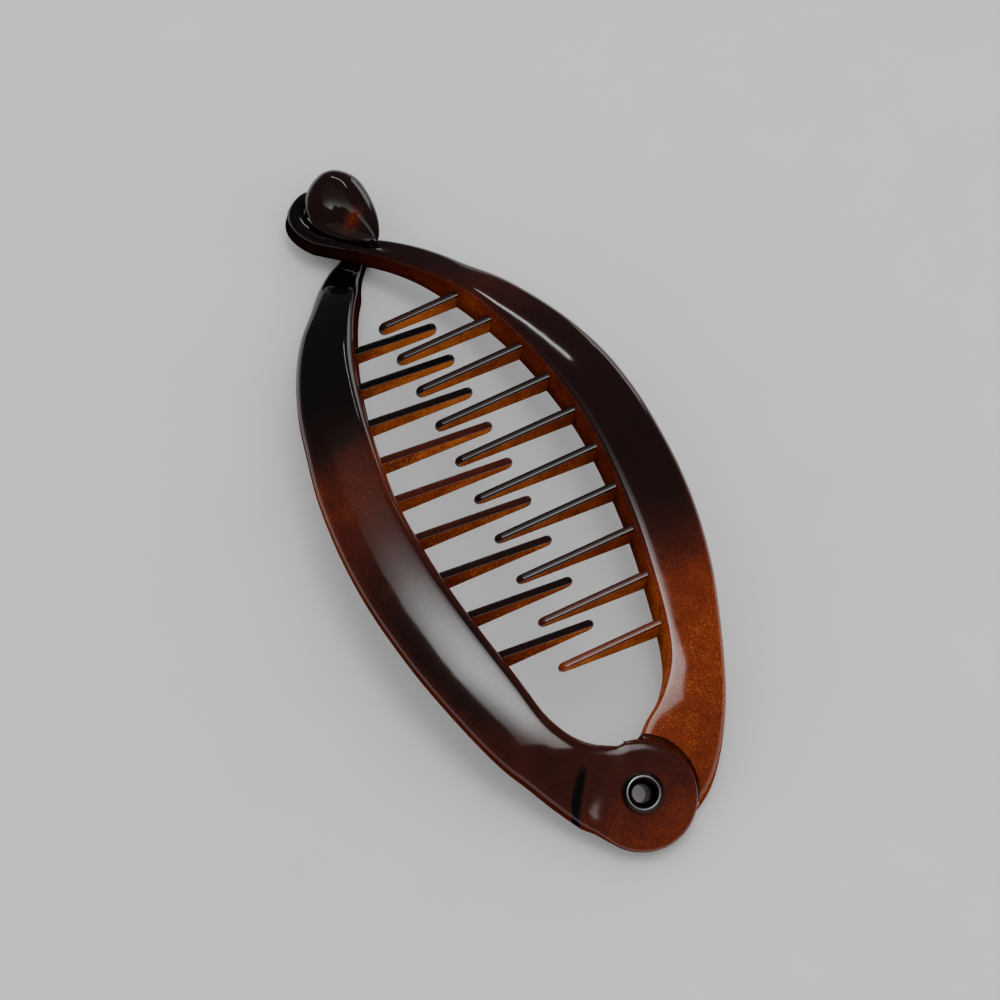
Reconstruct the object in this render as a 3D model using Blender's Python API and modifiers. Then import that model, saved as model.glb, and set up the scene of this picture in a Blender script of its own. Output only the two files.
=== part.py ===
"""Banana hair clip, closed and resting on its hinge end and its clasp end, teeth down.

Two moulded arms turn about one hollow eyelet.  Design coordinates are millimetres:
x to the right arm, y from the hinge to the clasp, v the height over the arch line.
"""
import math

import bmesh
import bpy
import numpy as np
from mathutils import Matrix, Vector

MM = 0.001
SHIFT_X = -0.087
SHIFT_Y = -4.345
ARCH_TOP_Z = 17.6

RIGHT_TOOTH_PITCH = 8.1
LEFT_TOOTH_PITCH = 8.0
RIGHT_FIRST_TOOTH_Y = 38.1
LEFT_FIRST_TOOTH_Y = 34.1
TOOTH_THICKNESS = 1.25
TOOTH_DROOP = 0.0924
FLANGE_THICKNESS = 1.6
WALL_DRAFT = 0.1

HINGE_Y = -59.08
HINGE_CREST_V = 4.1
LUG_SLOPE = math.radians(25.2)
DISC_RADIUS = 9.0
DISC_TOP = 0.8
DISC_BOTTOM = 3.0
DISC_SETBACK = 0.4
LOWER_LUG_RADIUS = 9.35
LOWER_LUG_SIDESTEP = 0.55
LOWER_LUG_TOP = 3.3
LOWER_LUG_BOTTOM = 5.5
UPPER_SWEEP_RADIUS = 9.7
LOWER_SWEEP_RADIUS = 10.25
LUG_BORE_RADIUS = 2.4
EYELET_BORE_RADIUS = 1.75
EYELET_BARREL_RADIUS = 2.1

KEEPER_FLOOR_V = -1.5

STATIONS_PER_ROW = 2

# Slope of the arch line in degrees, positive where it falls toward the clasp.
ARCH_SLOPES = (
    (-90.0, -25.19),
    (-52.0, -25.19),
    (-44.0, -18.37),
    (-30.0, -11.87),
    (0.0, 1.21),
    (30.0, 13.14),
    (43.0, 18.24),
    (50.0, 17.04),
    (57.0, 10.04),
    (63.0, 5.04),
    (70.0, 4.04),
    (100.0, 4.04),
)

# Columns: inner x, inner y, outer x, outer y, flange bottom, underside, top edge,
# fall (the inner edge stands this much over the top edge and the outer one as much under), rounding.
RIGHT_ARM = (
    (0.5, -53.2, 5.5, -63.6, -1.80, -1.70, 2.75, 0.35, 1.2),
    (2.5, -50.8, 9.2, -62.0, -1.80, -1.70, 2.75, 0.35, 1.4),
    (4.7, -48.6, 12.2, -59.9, -1.80, -1.65, 2.80, 0.35, 1.6),
    (7.2, -46.9, 14.9, -56.9, -2.00, -1.35, 2.90, 0.40, 1.8),
    (9.4, -44.8, 17.2, -53.6, -2.60, -0.90, 3.00, 0.45, 1.8),
    (11.4, -42.2, 19.4, -49.6, -2.90, -0.60, 3.10, 0.45, 1.8),
    (12.8, -39.0, 21.6, -44.3, -3.40, -0.50, 3.20, 0.50, 1.8),
    (13.9, -34.6, 23.9, -37.8, -3.55, -0.50, 3.20, 0.50, 1.8),
    (15.0, -28.5, 26.3, -30.0, -3.40, -0.50, 3.20, 0.50, 1.8),
    (16.2, -20.5, 28.1, -21.0, -3.35, -0.50, 3.20, 0.50, 1.8),
    (17.0, -12.0, 29.0, -12.0, -3.25, -0.50, 3.20, 0.50, 1.8),
    (17.4, -3.0, 29.1, -3.0, -3.20, -0.50, 3.20, 0.50, 1.8),
    (17.2, 5.0, 28.8, 4.5, -3.10, -0.50, 3.20, 0.50, 1.8),
    (16.3, 13.0, 27.7, 13.2, -3.00, -0.50, 3.20, 0.50, 1.8),
    (15.0, 21.0, 25.6, 21.4, -2.95, -0.50, 3.20, 0.50, 1.8),
    (13.2, 28.7, 22.9, 28.8, -3.00, -0.50, 3.20, 0.50, 1.8),
    (11.0, 36.2, 18.9, 36.7, -3.00, -0.50, 3.20, 0.45, 1.7),
    (8.9, 40.8, 14.9, 42.6, -2.30, -0.60, 3.15, 0.35, 1.5),
    (7.2, 43.9, 12.3, 46.8, -1.50, -0.80, 3.05, 0.25, 1.3),
    (5.3, 47.1, 9.6, 50.6, -1.15, -0.95, 2.95, 0.15, 1.2),
    (3.4, 49.9, 6.9, 53.3, -1.10, -1.00, 2.90, 0.10, 1.1),
    (1.3, 52.4, 4.1, 55.7, -1.10, -1.00, 2.90, 0.10, 1.1),
    (-0.8, 54.9, 1.6, 57.4, -1.10, -1.00, 2.90, 0.10, 1.1),
    (-2.9, 56.7, -0.5, 59.1, -1.10, -1.00, 2.90, 0.10, 1.1),
    (-4.9, 58.5, -2.5, 60.8, -1.10, -1.00, 2.90, 0.10, 1.1),
    (-6.6, 60.4, -3.7, 62.2, -1.10, -1.00, 2.90, 0.10, 1.1),
    (-7.8, 62.6, -4.5, 63.6, -1.10, -1.00, 2.90, 0.10, 1.1),
    (-8.5, 64.8, -4.9, 65.0, -1.10, -1.00, 2.90, 0.10, 1.1),
    (-8.5, 67.1, -5.0, 66.3, -1.10, -1.00, 2.90, 0.10, 1.1),
    (-7.7, 69.1, -4.8, 67.3, -1.10, -1.00, 2.90, 0.10, 1.1),
    (-6.2, 70.7, -4.1, 68.1, -1.10, -1.00, 2.90, 0.10, 1.0),
    (-4.3, 71.6, -3.1, 68.6, -1.10, -1.00, 2.90, 0.10, 1.0),
    (-2.2, 71.7, -2.0, 68.7, -1.10, -1.00, 2.90, 0.10, 1.0),
    (-0.4, 71.3, -0.9, 68.6, -1.10, -1.00, 2.90, 0.10, 1.0),
    (0.3, 70.5, 0.0, 69.0, -0.80, -0.70, 2.40, 0.05, 0.6),
)

# The same columns, with x measured toward the left arm.
LEFT_ARM = (
    (-1.4, -51.3, 5.6, -64.5, 0.95, 1.05, 2.90, 0.05, 0.8),
    (0.3, -50.85, 9.5, -61.6, 0.85, 0.95, 3.00, 0.05, 1.0),
    (2.4, -50.0, 11.15, -59.6, 0.10, 0.40, 3.10, 0.12, 1.4),
    (4.3, -48.8, 12.7, -57.0, -1.20, -0.60, 3.05, 0.25, 1.7),
    (6.2, -47.1, 14.6, -54.0, -2.30, -0.90, 3.05, 0.40, 1.8),
    (7.8, -45.0, 16.7, -50.6, -2.80, -0.70, 3.10, 0.45, 1.8),
    (9.6, -41.4, 19.4, -46.3, -3.20, -0.50, 3.20, 0.50, 1.8),
    (11.1, -36.0, 22.0, -40.3, -3.60, -0.50, 3.20, 0.50, 1.8),
    (12.6, -30.0, 24.9, -31.8, -3.75, -0.50, 3.20, 0.50, 1.8),
    (14.2, -23.0, 26.9, -24.0, -3.55, -0.50, 3.20, 0.50, 1.8),
    (15.6, -15.0, 28.4, -15.2, -3.50, -0.50, 3.20, 0.50, 1.8),
    (16.4, -7.0, 28.95, -7.0, -3.40, -0.50, 3.20, 0.50, 1.8),
    (16.6, 1.0, 28.75, 0.8, -3.30, -0.50, 3.20, 0.50, 1.8),
    (15.8, 9.0, 27.9, 8.8, -3.20, -0.50, 3.20, 0.50, 1.8),
    (14.6, 17.0, 26.2, 17.0, -3.10, -0.50, 3.20, 0.50, 1.8),
    (13.0, 24.5, 24.0, 24.7, -3.10, -0.50, 3.20, 0.50, 1.8),
    (11.0, 31.4, 20.9, 33.0, -3.10, -0.50, 3.20, 0.45, 1.8),
    (8.6, 37.5, 17.1, 40.2, -2.80, -0.60, 3.10, 0.40, 1.7),
    (6.0, 43.0, 13.3, 45.9, -2.20, -0.90, 3.05, 0.30, 1.5),
    (3.7, 47.1, 9.5, 51.2, -2.60, -1.90, 2.10, 0.20, 1.3),
    (2.3, 50.2, 6.1, 54.8, -3.90, -3.60, -0.70, 0.10, 1.1),
    (0.9, 52.8, 3.3, 57.2, -4.80, -4.65, -1.60, 0.05, 0.9),
    (-0.5, 54.9, 0.8, 59.4, -5.00, -4.90, -1.60, 0.05, 0.8),
    (-2.2, 57.0, -1.2, 61.9, -5.10, -5.00, -1.60, 0.05, 0.8),
    (-3.4, 59.4, -0.5, 64.0, -5.10, -5.00, -1.60, 0.05, 0.8),
)

# Columns: root x, tip x past the middle, depth at the root, depth at the tip.
RIGHT_TEETH = (
    (10.3, -3.8, 3.8, 2.6),
    (12.9, -4.0, 4.0, 2.5),
    (14.8, -4.0, 4.1, 2.4),
    (16.1, -4.1, 4.3, 2.3),
    (17.0, -4.1, 4.4, 2.1),
    (17.4, -4.3, 4.6, 1.8),
    (17.2, -4.3, 4.6, 1.7),
    (16.4, -4.1, 4.3, 1.6),
    (15.3, -3.9, 4.2, 1.6),
    (13.8, -4.0, 4.3, 1.6),
)
LEFT_TEETH = (
    (10.0, -5.3, 3.9, 2.6),
    (12.7, -5.1, 4.0, 2.5),
    (14.5, -4.8, 4.2, 2.3),
    (15.8, -4.8, 4.4, 2.2),
    (16.6, -4.8, 4.5, 2.1),
    (16.4, -4.6, 4.6, 2.0),
    (15.6, -4.6, 4.7, 1.9),
    (14.2, -4.6, 4.6, 1.8),
    (12.4, -4.7, 4.7, 1.8),
)
# Columns: place across the blade as a share of half its thickness, how far its nose stands back.
BLADE_LAYERS = ((-1.0, 0.55), (-0.5, 0.08), (0.5, 0.08), (1.0, 0.55))

# Outline of the domed cap over the hook, seen from above.
CAP_OUTLINE = (
    (3.5, 54.9),
    (4.8, 57.2),
    (5.7, 60.2),
    (6.1, 63.3),
    (6.1, 66.2),
    (5.75, 68.6),
    (4.75, 70.9),
    (2.9, 72.6),
    (0.7, 72.8),
    (-1.3, 72.1),
    (-3.2, 70.8),
    (-4.5, 68.9),
    (-5.1, 66.8),
    (-5.3, 64.9),
    (-5.2, 63.1),
    (-4.3, 61.1),
    (-2.9, 59.2),
    (-1.3, 57.5),
    (0.7, 55.9),
    (2.2, 55.2),
)
CAP_CENTRE = (0.6, 66.2)
# Columns: share of the outline kept, height over the arch line.
CAP_RINGS = (
    (0.98, 3.5),
    (1.00, 3.8),
    (0.99, 4.3),
    (0.94, 4.8),
    (0.83, 5.35),
    (0.66, 5.8),
    (0.36, 6.15),
)

# Outline of the keeper's floor, which passes under the hook.
KEEPER_OUTLINE = (
    (2.6, 56.4),
    (4.6, 58.6),
    (5.6, 62.5),
    (5.6, 67.0),
    (4.8, 71.5),
    (4.0, 74.9),
    (2.2, 75.6),
    (0.4, 75.2),
    (-1.0, 73.6),
    (-2.6, 70.0),
    (-3.2, 66.0),
    (-2.6, 62.4),
    (-1.0, 59.6),
)

# Columns: height, left x, right x, inner y, outer y at the middle.
KEEPER_WALL = (
    (-3.0, -0.8, 4.2, 72.2, 75.7),
    (-1.0, -1.0, 4.2, 72.2, 75.5),
    (1.0, -1.2, 4.1, 72.2, 74.5),
    (3.0, -1.4, 3.8, 72.15, 73.3),
    (3.7, -1.4, 3.6, 71.4, 72.9),
    (4.3, -1.2, 3.4, 70.8, 72.5),
)
KEEPER_WALL_ROUNDNESS = 0.75


def clear_scene():
    for obj in list(bpy.data.objects):
        bpy.data.objects.remove(obj, do_unlink=True)


def new_collection(name):
    made = bpy.data.collections.new(name)
    bpy.context.scene.collection.children.link(made)
    return made


def make_material(name, colour, roughness, metallic=0.0):
    material = bpy.data.materials.new(name)
    material.use_nodes = True
    shader = material.node_tree.nodes["Principled BSDF"]
    shader.inputs["Base Color"].default_value = (*colour, 1.0)
    shader.inputs["Roughness"].default_value = roughness
    shader.inputs["Metallic"].default_value = metallic
    return material


def arch_profile():
    """Stations along y and the arch line's height at each."""
    y = np.linspace(-90.0, 100.0, 1901)
    knots = np.array(ARCH_SLOPES)
    slope = np.radians(np.interp(y, knots[:, 0], knots[:, 1]))
    window = np.hanning(61)
    slope = np.convolve(np.pad(slope, 30, "edge"), window / window.sum(), "valid")
    rise = np.tan(slope)
    height = -np.concatenate(([0.0], np.cumsum((rise[1:] + rise[:-1]) / 2 * (y[1] - y[0]))))
    return y, height - np.interp(0.0, y, height) + ARCH_TOP_Z


ARCH_Y, ARCH_Z = arch_profile()


def arch(y):
    return float(np.interp(y, ARCH_Y, ARCH_Z))


def at(x, y, v):
    return Vector((x + SHIFT_X, y + SHIFT_Y, arch(y) + v)) * MM


def hinge_frame():
    """Local x, y lie in the lug plane and z runs up the eyelet's axis, from its crest, in millimetres."""
    crest = at(0.0, HINGE_Y, HINGE_CREST_V)
    turn = Matrix.Rotation(LUG_SLOPE, 4, "X")
    return Matrix.Translation(crest) @ turn @ Matrix.Scale(MM, 4)


def object_from(name, bm, collection, material=None):
    bmesh.ops.recalc_face_normals(bm, faces=bm.faces)
    mesh = bpy.data.meshes.new(name)
    bm.to_mesh(mesh)
    bm.free()
    made = bpy.data.objects.new(name, mesh)
    collection.objects.link(made)
    if material is not None:
        mesh.materials.append(material)
    return made


def loft(rings):
    """A closed solid through rings of equal length, capped at both ends."""
    bm = bmesh.new()
    loops = [[bm.verts.new(point) for point in ring] for ring in rings]
    count = len(rings[0])
    for near, far in zip(loops[:-1], loops[1:]):
        for i in range(count):
            j = (i + 1) % count
            bm.faces.new((near[i], near[j], far[j], far[i]))
    bm.faces.new(list(reversed(loops[0])))
    bm.faces.new(loops[-1])
    return bm


def smooth_rows(rows, per_row):
    """Catmull-Rom curve through the rows, with per_row steps between neighbours."""
    table = np.array(rows, float)
    padded = np.vstack((2 * table[0] - table[1], table, 2 * table[-1] - table[-2]))
    found = []
    for i in range(len(table) - 1):
        a, b, c, d = padded[i : i + 4]
        for step in range(per_row):
            t = step / per_row
            found.append(
                0.5
                * (
                    2 * b
                    + (c - a) * t
                    + (2 * a - 5 * b + 4 * c - d) * t * t
                    + (3 * b - 3 * c + d - a) * t**3
                )
            )
    found.append(table[-1])
    return found


def arm_section(width, lean, flange, under, top, fall, rounding):
    """Points (distance from the flange's foot, height) round the arm's section."""
    wall = min(FLANGE_THICKNESS, 0.4 * width)
    high = top + fall
    low = top - fall
    span = width - lean - 2 * rounding
    tilt = math.atan2(4 * fall, span)
    run = span + rounding * math.sin(tilt)
    points = [(0.0, flange)]
    for a in (math.radians(0), math.radians(35), math.radians(65), math.radians(90)):
        points.append((lean + rounding * (1 - math.cos(a)), high - rounding * (1 - math.sin(a))))
    points.append((lean + rounding + run / 2, high - fall / 2))
    for step in range(4):
        a = tilt + (math.pi / 2 - tilt) * step / 3
        drop = rounding * (math.cos(tilt) - math.cos(a))
        points.append((width - rounding + rounding * math.sin(a), low - drop))
    return points + [(width, under), (wall, under), (wall, flange)]


def arm_loft(rows, side):
    """side is 1 for the right arm, whose table gives the flange's foot, and -1 for the left one.

    The left arm's table gives the inner wall's top.
    """
    rings = []
    for row in smooth_rows(rows, STATIONS_PER_ROW):
        inner = Vector((side * row[0], row[1]))
        outer = Vector((side * row[2], row[3]))
        across = (outer - inner).normalized()
        lean = WALL_DRAFT * (row[6] + row[7] - row[4])
        if side < 0:
            inner -= across * lean
        ring = []
        for s, v in arm_section((outer - inner).length, lean, *row[4:]):
            point = inner + across * s
            ring.append(at(point.x, point.y, v))
        rings.append(ring)
    return loft(rings)


def tooth(root_x, tip_x, root_depth, tip_depth, y, side):
    """One blade, square to y, with a round nose past the middle."""
    base_x = root_x + 1.3

    def top(x):
        return TOOTH_DROOP * x

    rings = []
    for place, setback in BLADE_LAYERS:
        nose_x = tip_x + setback + 1.3
        outline = [(base_x, top(base_x)), (root_x - 1.0, top(root_x - 1.0))]
        for step in range(7):
            a = math.radians(90 + 180 * step / 6)
            nose_v = top(tip_x) - tip_depth / 2 * (1 - math.sin(a))
            outline.append((nose_x + 1.3 * math.cos(a), nose_v))
        middle_x = 0.5 * (root_x + tip_x)
        outline += [
            (middle_x, top(middle_x) - 0.5 * (root_depth + tip_depth)),
            (root_x - 1.0, top(root_x - 1.0) - root_depth + 0.1),
            (base_x, top(root_x) - root_depth),
        ]
        station = y + place * TOOTH_THICKNESS / 2
        rings.append([at(side * x, station, v) for x, v in outline])
    return loft(rings)


def lug_disc(radius, upper, lower, sidestep=0.0, setback=0.0, rounding=0.0, segments=64):
    """A disc square to the eyelet, between two depths under the eyelet's crest."""
    bm = bmesh.new()
    bmesh.ops.create_cone(
        bm,
        cap_ends=True,
        segments=segments,
        radius1=radius,
        radius2=radius,
        depth=lower - upper,
    )
    if rounding:
        rim = [e for e in bm.edges if all(v.co.z > 0 for v in e.verts)]
        bmesh.ops.bevel(bm, geom=rim, offset=rounding, segments=3, profile=0.5, affect="EDGES")
    place = Matrix.Translation((sidestep, -setback, -(upper + lower) / 2))
    bmesh.ops.transform(bm, matrix=hinge_frame() @ place, verts=bm.verts)
    return bm


def cap_dome():
    rings = []
    for share, v in CAP_RINGS:
        ring = []
        for x, y in CAP_OUTLINE:
            ring.append(
                at(
                    CAP_CENTRE[0] + (x - CAP_CENTRE[0]) * share,
                    CAP_CENTRE[1] + (y - CAP_CENTRE[1]) * share,
                    v,
                )
            )
        rings.append(ring)
    return loft(rings)


def keeper_wall():
    """The rising end behind the hook: flat toward the hook, bowed on the outside."""
    rings = []
    for v, left, right, inner, outer in KEEPER_WALL:
        ring = [at(left, inner, v), at(right, inner, v)]
        for turn in range(1, 8):
            across = math.cos(math.pi * turn / 8)
            bow = KEEPER_WALL_ROUNDNESS * across * across
            x = (left + right) / 2 + (right - left) / 2 * across
            ring.append(at(x, inner + (outer - inner) * (1 - bow), v))
        rings.append(ring)
    return loft(rings)


def keeper_floor():
    """The floor under the hook; its lower face is level, at the height the clip rests on."""
    rings = [[at(x, y, v) for x, y in KEEPER_OUTLINE] for v in (-1.9, KEEPER_FLOOR_V)]
    level = [Vector((p.x, p.y, 0.0)) for p in rings[0]]
    return loft([level] + rings)


def floor_cutter():
    bm = bmesh.new()
    bmesh.ops.create_cube(bm, size=1.0)
    bmesh.ops.scale(bm, vec=(0.2, 0.3, 0.02), verts=bm.verts)
    bmesh.ops.translate(bm, vec=(0.0, 0.0, -0.01), verts=bm.verts)
    return bm


def boolean(target, other, operation):
    modifier = target.modifiers.new(f"{operation.lower()} {other.name}", "BOOLEAN")
    modifier.operation = operation
    modifier.solver = "EXACT"
    modifier.object = other


def helper(name, bm, helpers):
    made = object_from(name, bm, helpers)
    made.hide_render = True
    made.display_type = "WIRE"
    return made


def bake(obj):
    """Applies the modifiers, so that the object keeps one plain mesh."""
    graph = bpy.context.evaluated_depsgraph_get()
    mesh = bpy.data.meshes.new_from_object(obj.evaluated_get(graph), depsgraph=graph)
    obj.modifiers.clear()
    obj.data = mesh
    bm = bmesh.new()
    bm.from_mesh(mesh)
    bmesh.ops.remove_doubles(bm, verts=bm.verts, dist=2e-6)
    bmesh.ops.dissolve_degenerate(bm, dist=2e-6, edges=bm.edges)
    bmesh.ops.triangulate(bm, faces=[f for f in bm.faces if len(f.verts) > 4])
    bm.to_mesh(mesh)
    bm.free()
    mesh.set_sharp_from_angle(angle=math.radians(35))
    for polygon in mesh.polygons:
        polygon.use_smooth = True


def build_left_arm(collection, helpers, plastic):
    arm = object_from("left_arm", arm_loft(LEFT_ARM, -1), collection, plastic)
    sweep = lug_disc(LOWER_SWEEP_RADIUS, DISC_BOTTOM - 0.02, 12.0)
    boolean(arm, helper("left sweep", sweep, helpers), "DIFFERENCE")
    disc = lug_disc(DISC_RADIUS, DISC_TOP, DISC_BOTTOM, setback=DISC_SETBACK, rounding=0.7)
    boolean(arm, helper("left disc", disc, helpers), "UNION")
    for index, sizes in enumerate(LEFT_TEETH):
        y = LEFT_FIRST_TOOTH_Y - LEFT_TOOTH_PITCH * index
        blade = helper(f"left tooth {index + 1}", tooth(*sizes, y, -1), helpers)
        boolean(arm, blade, "UNION")
    boolean(arm, helper("keeper floor", keeper_floor(), helpers), "UNION")
    boolean(arm, helper("keeper wall", keeper_wall(), helpers), "UNION")
    boolean(arm, helper("keeper cap", cap_dome(), helpers), "UNION")
    bore = lug_disc(LUG_BORE_RADIUS, -2.0, 8.0, segments=32)
    boolean(arm, helper("left bore", bore, helpers), "DIFFERENCE")
    bake(arm)
    return arm


def build_right_arm(collection, helpers, plastic):
    arm = object_from("right_arm", arm_loft(RIGHT_ARM, 1), collection, plastic)
    sweep = lug_disc(UPPER_SWEEP_RADIUS, -6.0, LOWER_LUG_TOP + 0.02)
    boolean(arm, helper("right sweep", sweep, helpers), "DIFFERENCE")
    lug = lug_disc(
        LOWER_LUG_RADIUS, LOWER_LUG_TOP, LOWER_LUG_BOTTOM, sidestep=LOWER_LUG_SIDESTEP
    )
    boolean(arm, helper("right lug", lug, helpers), "UNION")
    for index, sizes in enumerate(RIGHT_TEETH):
        y = RIGHT_FIRST_TOOTH_Y - RIGHT_TOOTH_PITCH * index
        blade = helper(f"right tooth {index + 1}", tooth(*sizes, y, 1), helpers)
        boolean(arm, blade, "UNION")
    bore = lug_disc(LUG_BORE_RADIUS, -2.0, 8.0, segments=32)
    boolean(arm, helper("right bore", bore, helpers), "DIFFERENCE")
    boolean(arm, helper("floor cutter", floor_cutter(), helpers), "DIFFERENCE")
    bake(arm)
    return arm


def build_eyelet(collection, metal):
    """A hollow rivet: barrel, rolled crest above and rolled foot below, turned by a Screw."""
    bore = EYELET_BORE_RADIUS
    barrel = EYELET_BARREL_RADIUS
    profile = (
        (bore, -1.3),
        (bore + 0.1, -0.9),
        (bore + 0.4, -0.4),
        (2.5, -0.08),
        (2.72, 0.0),
        (2.95, -0.12),
        (3.25, -0.42),
        (3.5, -0.58),
        (3.45, -0.72),
        (barrel, -0.72),
        (barrel, -5.58),
        (3.4, -5.58),
        (3.5, -5.72),
        (3.3, -5.9),
        (2.75, -6.1),
        (2.5, -6.25),
        (bore + 0.4, -6.3),
        (bore + 0.1, -6.1),
        (bore, -5.8),
    )
    bm = bmesh.new()
    verts = [bm.verts.new((radius, 0.0, height)) for radius, height in profile]
    for first, second in zip(verts, verts[1:] + verts[:1]):
        bm.edges.new((first, second))
    mesh = bpy.data.meshes.new("hinge_eyelet")
    bm.to_mesh(mesh)
    bm.free()
    eyelet = bpy.data.objects.new("hinge_eyelet", mesh)
    collection.objects.link(eyelet)
    mesh.materials.append(metal)
    screw = eyelet.modifiers.new("turned", "SCREW")
    screw.axis = "Z"
    screw.steps = 40
    screw.render_steps = 40
    screw.use_merge_vertices = True
    screw.merge_threshold = 0.00001
    bake(eyelet)
    eyelet.data.transform(hinge_frame())
    bm = bmesh.new()
    bm.from_mesh(eyelet.data)
    bmesh.ops.recalc_face_normals(bm, faces=bm.faces)
    bm.to_mesh(eyelet.data)
    bm.free()
    return eyelet


def put_origin_on_axis(obj):
    """Moves the object's origin onto the hinge axis and leaves its shape where it is."""
    pivot = at(0.0, HINGE_Y, HINGE_CREST_V)
    obj.data.transform(Matrix.Translation(-pivot))
    obj.location = pivot


def main():
    clear_scene()
    parts = new_collection("banana hair clip")
    helpers = new_collection("cutters")
    helpers.hide_render = True
    plastic_left = make_material("left_arm", (0.045, 0.022, 0.016), 0.25)
    plastic_right = make_material("right_arm", (0.050, 0.022, 0.015), 0.25)
    metal = make_material("hinge_eyelet", (0.03, 0.03, 0.03), 0.3, 0.6)
    build_left_arm(parts, helpers, plastic_left)
    right = build_right_arm(parts, helpers, plastic_right)
    build_eyelet(parts, metal)
    put_origin_on_axis(right)
    for obj in list(helpers.objects):
        obj.hide_render = True


main()
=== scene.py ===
"""Looks of the banana hair clip: glossy tortoiseshell plastic and a blackened metal eyelet.

The finer arms follow the CAD solids they replace.  Design coordinates are millimetres:
x to the right arm, y from the hinge to the clasp, v the height over the arch line.
"""
import math

import bmesh
import bpy
import numpy as np
from mathutils import Matrix, Vector
from mathutils.kdtree import KDTree


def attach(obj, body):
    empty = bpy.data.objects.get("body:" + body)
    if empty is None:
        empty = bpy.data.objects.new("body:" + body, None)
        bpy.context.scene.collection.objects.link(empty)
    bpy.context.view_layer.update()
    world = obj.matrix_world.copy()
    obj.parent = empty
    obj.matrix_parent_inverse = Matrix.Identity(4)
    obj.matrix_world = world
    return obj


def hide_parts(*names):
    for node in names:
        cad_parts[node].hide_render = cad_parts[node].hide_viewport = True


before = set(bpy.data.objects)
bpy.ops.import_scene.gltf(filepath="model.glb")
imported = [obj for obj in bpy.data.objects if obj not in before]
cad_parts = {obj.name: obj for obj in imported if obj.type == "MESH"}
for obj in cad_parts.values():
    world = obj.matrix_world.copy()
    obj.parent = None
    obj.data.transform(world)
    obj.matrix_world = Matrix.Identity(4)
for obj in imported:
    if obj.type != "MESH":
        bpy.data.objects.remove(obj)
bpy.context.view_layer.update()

MM = 0.001
# From design coordinates to the part's frame.
SHIFT_X = -0.087
SHIFT_Y = -4.345
# Height of the arch line over the table at y = 0.
ARCH_TOP_Z = 17.6

RIGHT_TOOTH_PITCH = 8.1
LEFT_TOOTH_PITCH = 8.0
RIGHT_FIRST_TOOTH_Y = 38.1
LEFT_FIRST_TOOTH_Y = 34.1
TOOTH_THICKNESS = 1.25
TOOTH_EDGE_RADIUS = 0.26
TOOTH_DROOP = 0.0924
TOOTH_NOSE_LENGTH = 1.3
TOOTH_NOSE_TAPER = 0.8
TOOTH_DEPTH_IN_WALL = 0.9
TOOTH_ROOT_RUN = 1.0
TOOTH_ROOT_RISE = 0.1
TOOTH_NOSE_STEPS = 8
TOOTH_SIDE_INSET = 0.22

SHARP_ANGLE = math.radians(38.0)
STATIONS_PER_ROW = 6
ROUNDING_STEPS = 8
CROWN_STEPS = 12
FLANGE_THICKNESS = 1.6
WALL_DRAFT = 0.1
FOOT_RADIUS = 0.25
# Largest shares of a narrow section's width.
FLANGE_SHARE = 0.4
ROUNDING_SHARE = 0.42
RIGHT_INNER_ROUNDING = 0.9
HOOK_START_Y = 55.5
# The crown falls from the inner to the outer edge with this power of the distance.
CROWN_POWER = 2.0
# The right arm's crown is flatter toward the hinge.
FLATTER_CROWN = 0.7
FLATTER_FROM_Y = -10.0
FLATTER_RUN = 30.0

# Lit share: 0 has the tone of thick plastic and 1 that of thin plastic with light behind it.
# A face whose corners all reach MATTE_FROM gets the duller material.
MATTE_FROM = 0.4
INNER_WALL_LIT = 0.62
WALL_FOOT_LIT = 0.5
OUTER_WALL_LIT = 0.5
OUTER_FOOT_LIT = 0.45
EDGE_LIT = 0.55
UNDERSIDE_RIM_LIT = 0.4
UNDERSIDE_LIT = 0.3
FLANGE_BACK_LIT = 0.6
FLANGE_EDGE_LIT = 0.7
FLANGE_FOOT_LIT = 0.8
LEFT_CUT_LIT = -0.3
RIGHT_CUT_LIT = 0.3
LIT_REACH = 0.25
TOOTH_RIM_LIT = -0.1
TOOTH_LOWER_EDGE_LIT = 0.7
TOOTH_LOWER_EDGE_FROM = 1.2
TOOTH_ROOT_DIMMING = 0.22
TOOTH_DIMMED_RUN = 4.0

HINGE_Y = -59.08
HINGE_CREST_V = 4.1
LUG_SLOPE = math.radians(25.2)
DISC_RADIUS = 9.2
DISC_SETBACK = 0.4
DISC_ROUNDING = 0.9
DISC_STEPS = 48
DISC_BLEND_STATIONS = 12
LOWER_LUG_RADIUS = 8.3
LOWER_LUG_SIDESTEP = 1.6
LOWER_LUG_ROUNDING = 0.3
# Within these radii each arm keeps out of the other's way.
UPPER_SWEEP_RADIUS = 9.7
LOWER_SWEEP_RADIUS = 10.25
LUG_BORE_RADIUS = 2.4
LUG_SEGMENTS = 128
BORE_SEGMENTS = 64
# Depths under the eyelet's crest, along the hinge axis.
DISC_TOP = 0.8
DISC_BOTTOM = 3.0
LOWER_LUG_TOP = 3.3
LOWER_LUG_BOTTOM = 5.5
UPPER_SWEEP_DEPTHS = (-6.0, LOWER_LUG_TOP + 0.02)
LOWER_SWEEP_DEPTHS = (DISC_BOTTOM - 0.02, 12.0)
BORE_DEPTHS = (-2.0, 8.0)

EYELET_BORE_RADIUS = 1.5
EYELET_BARREL_RADIUS = 2.1
EYELET_CREST_RADIUS = 2.72
EYELET_SEGMENTS = 96
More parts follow.
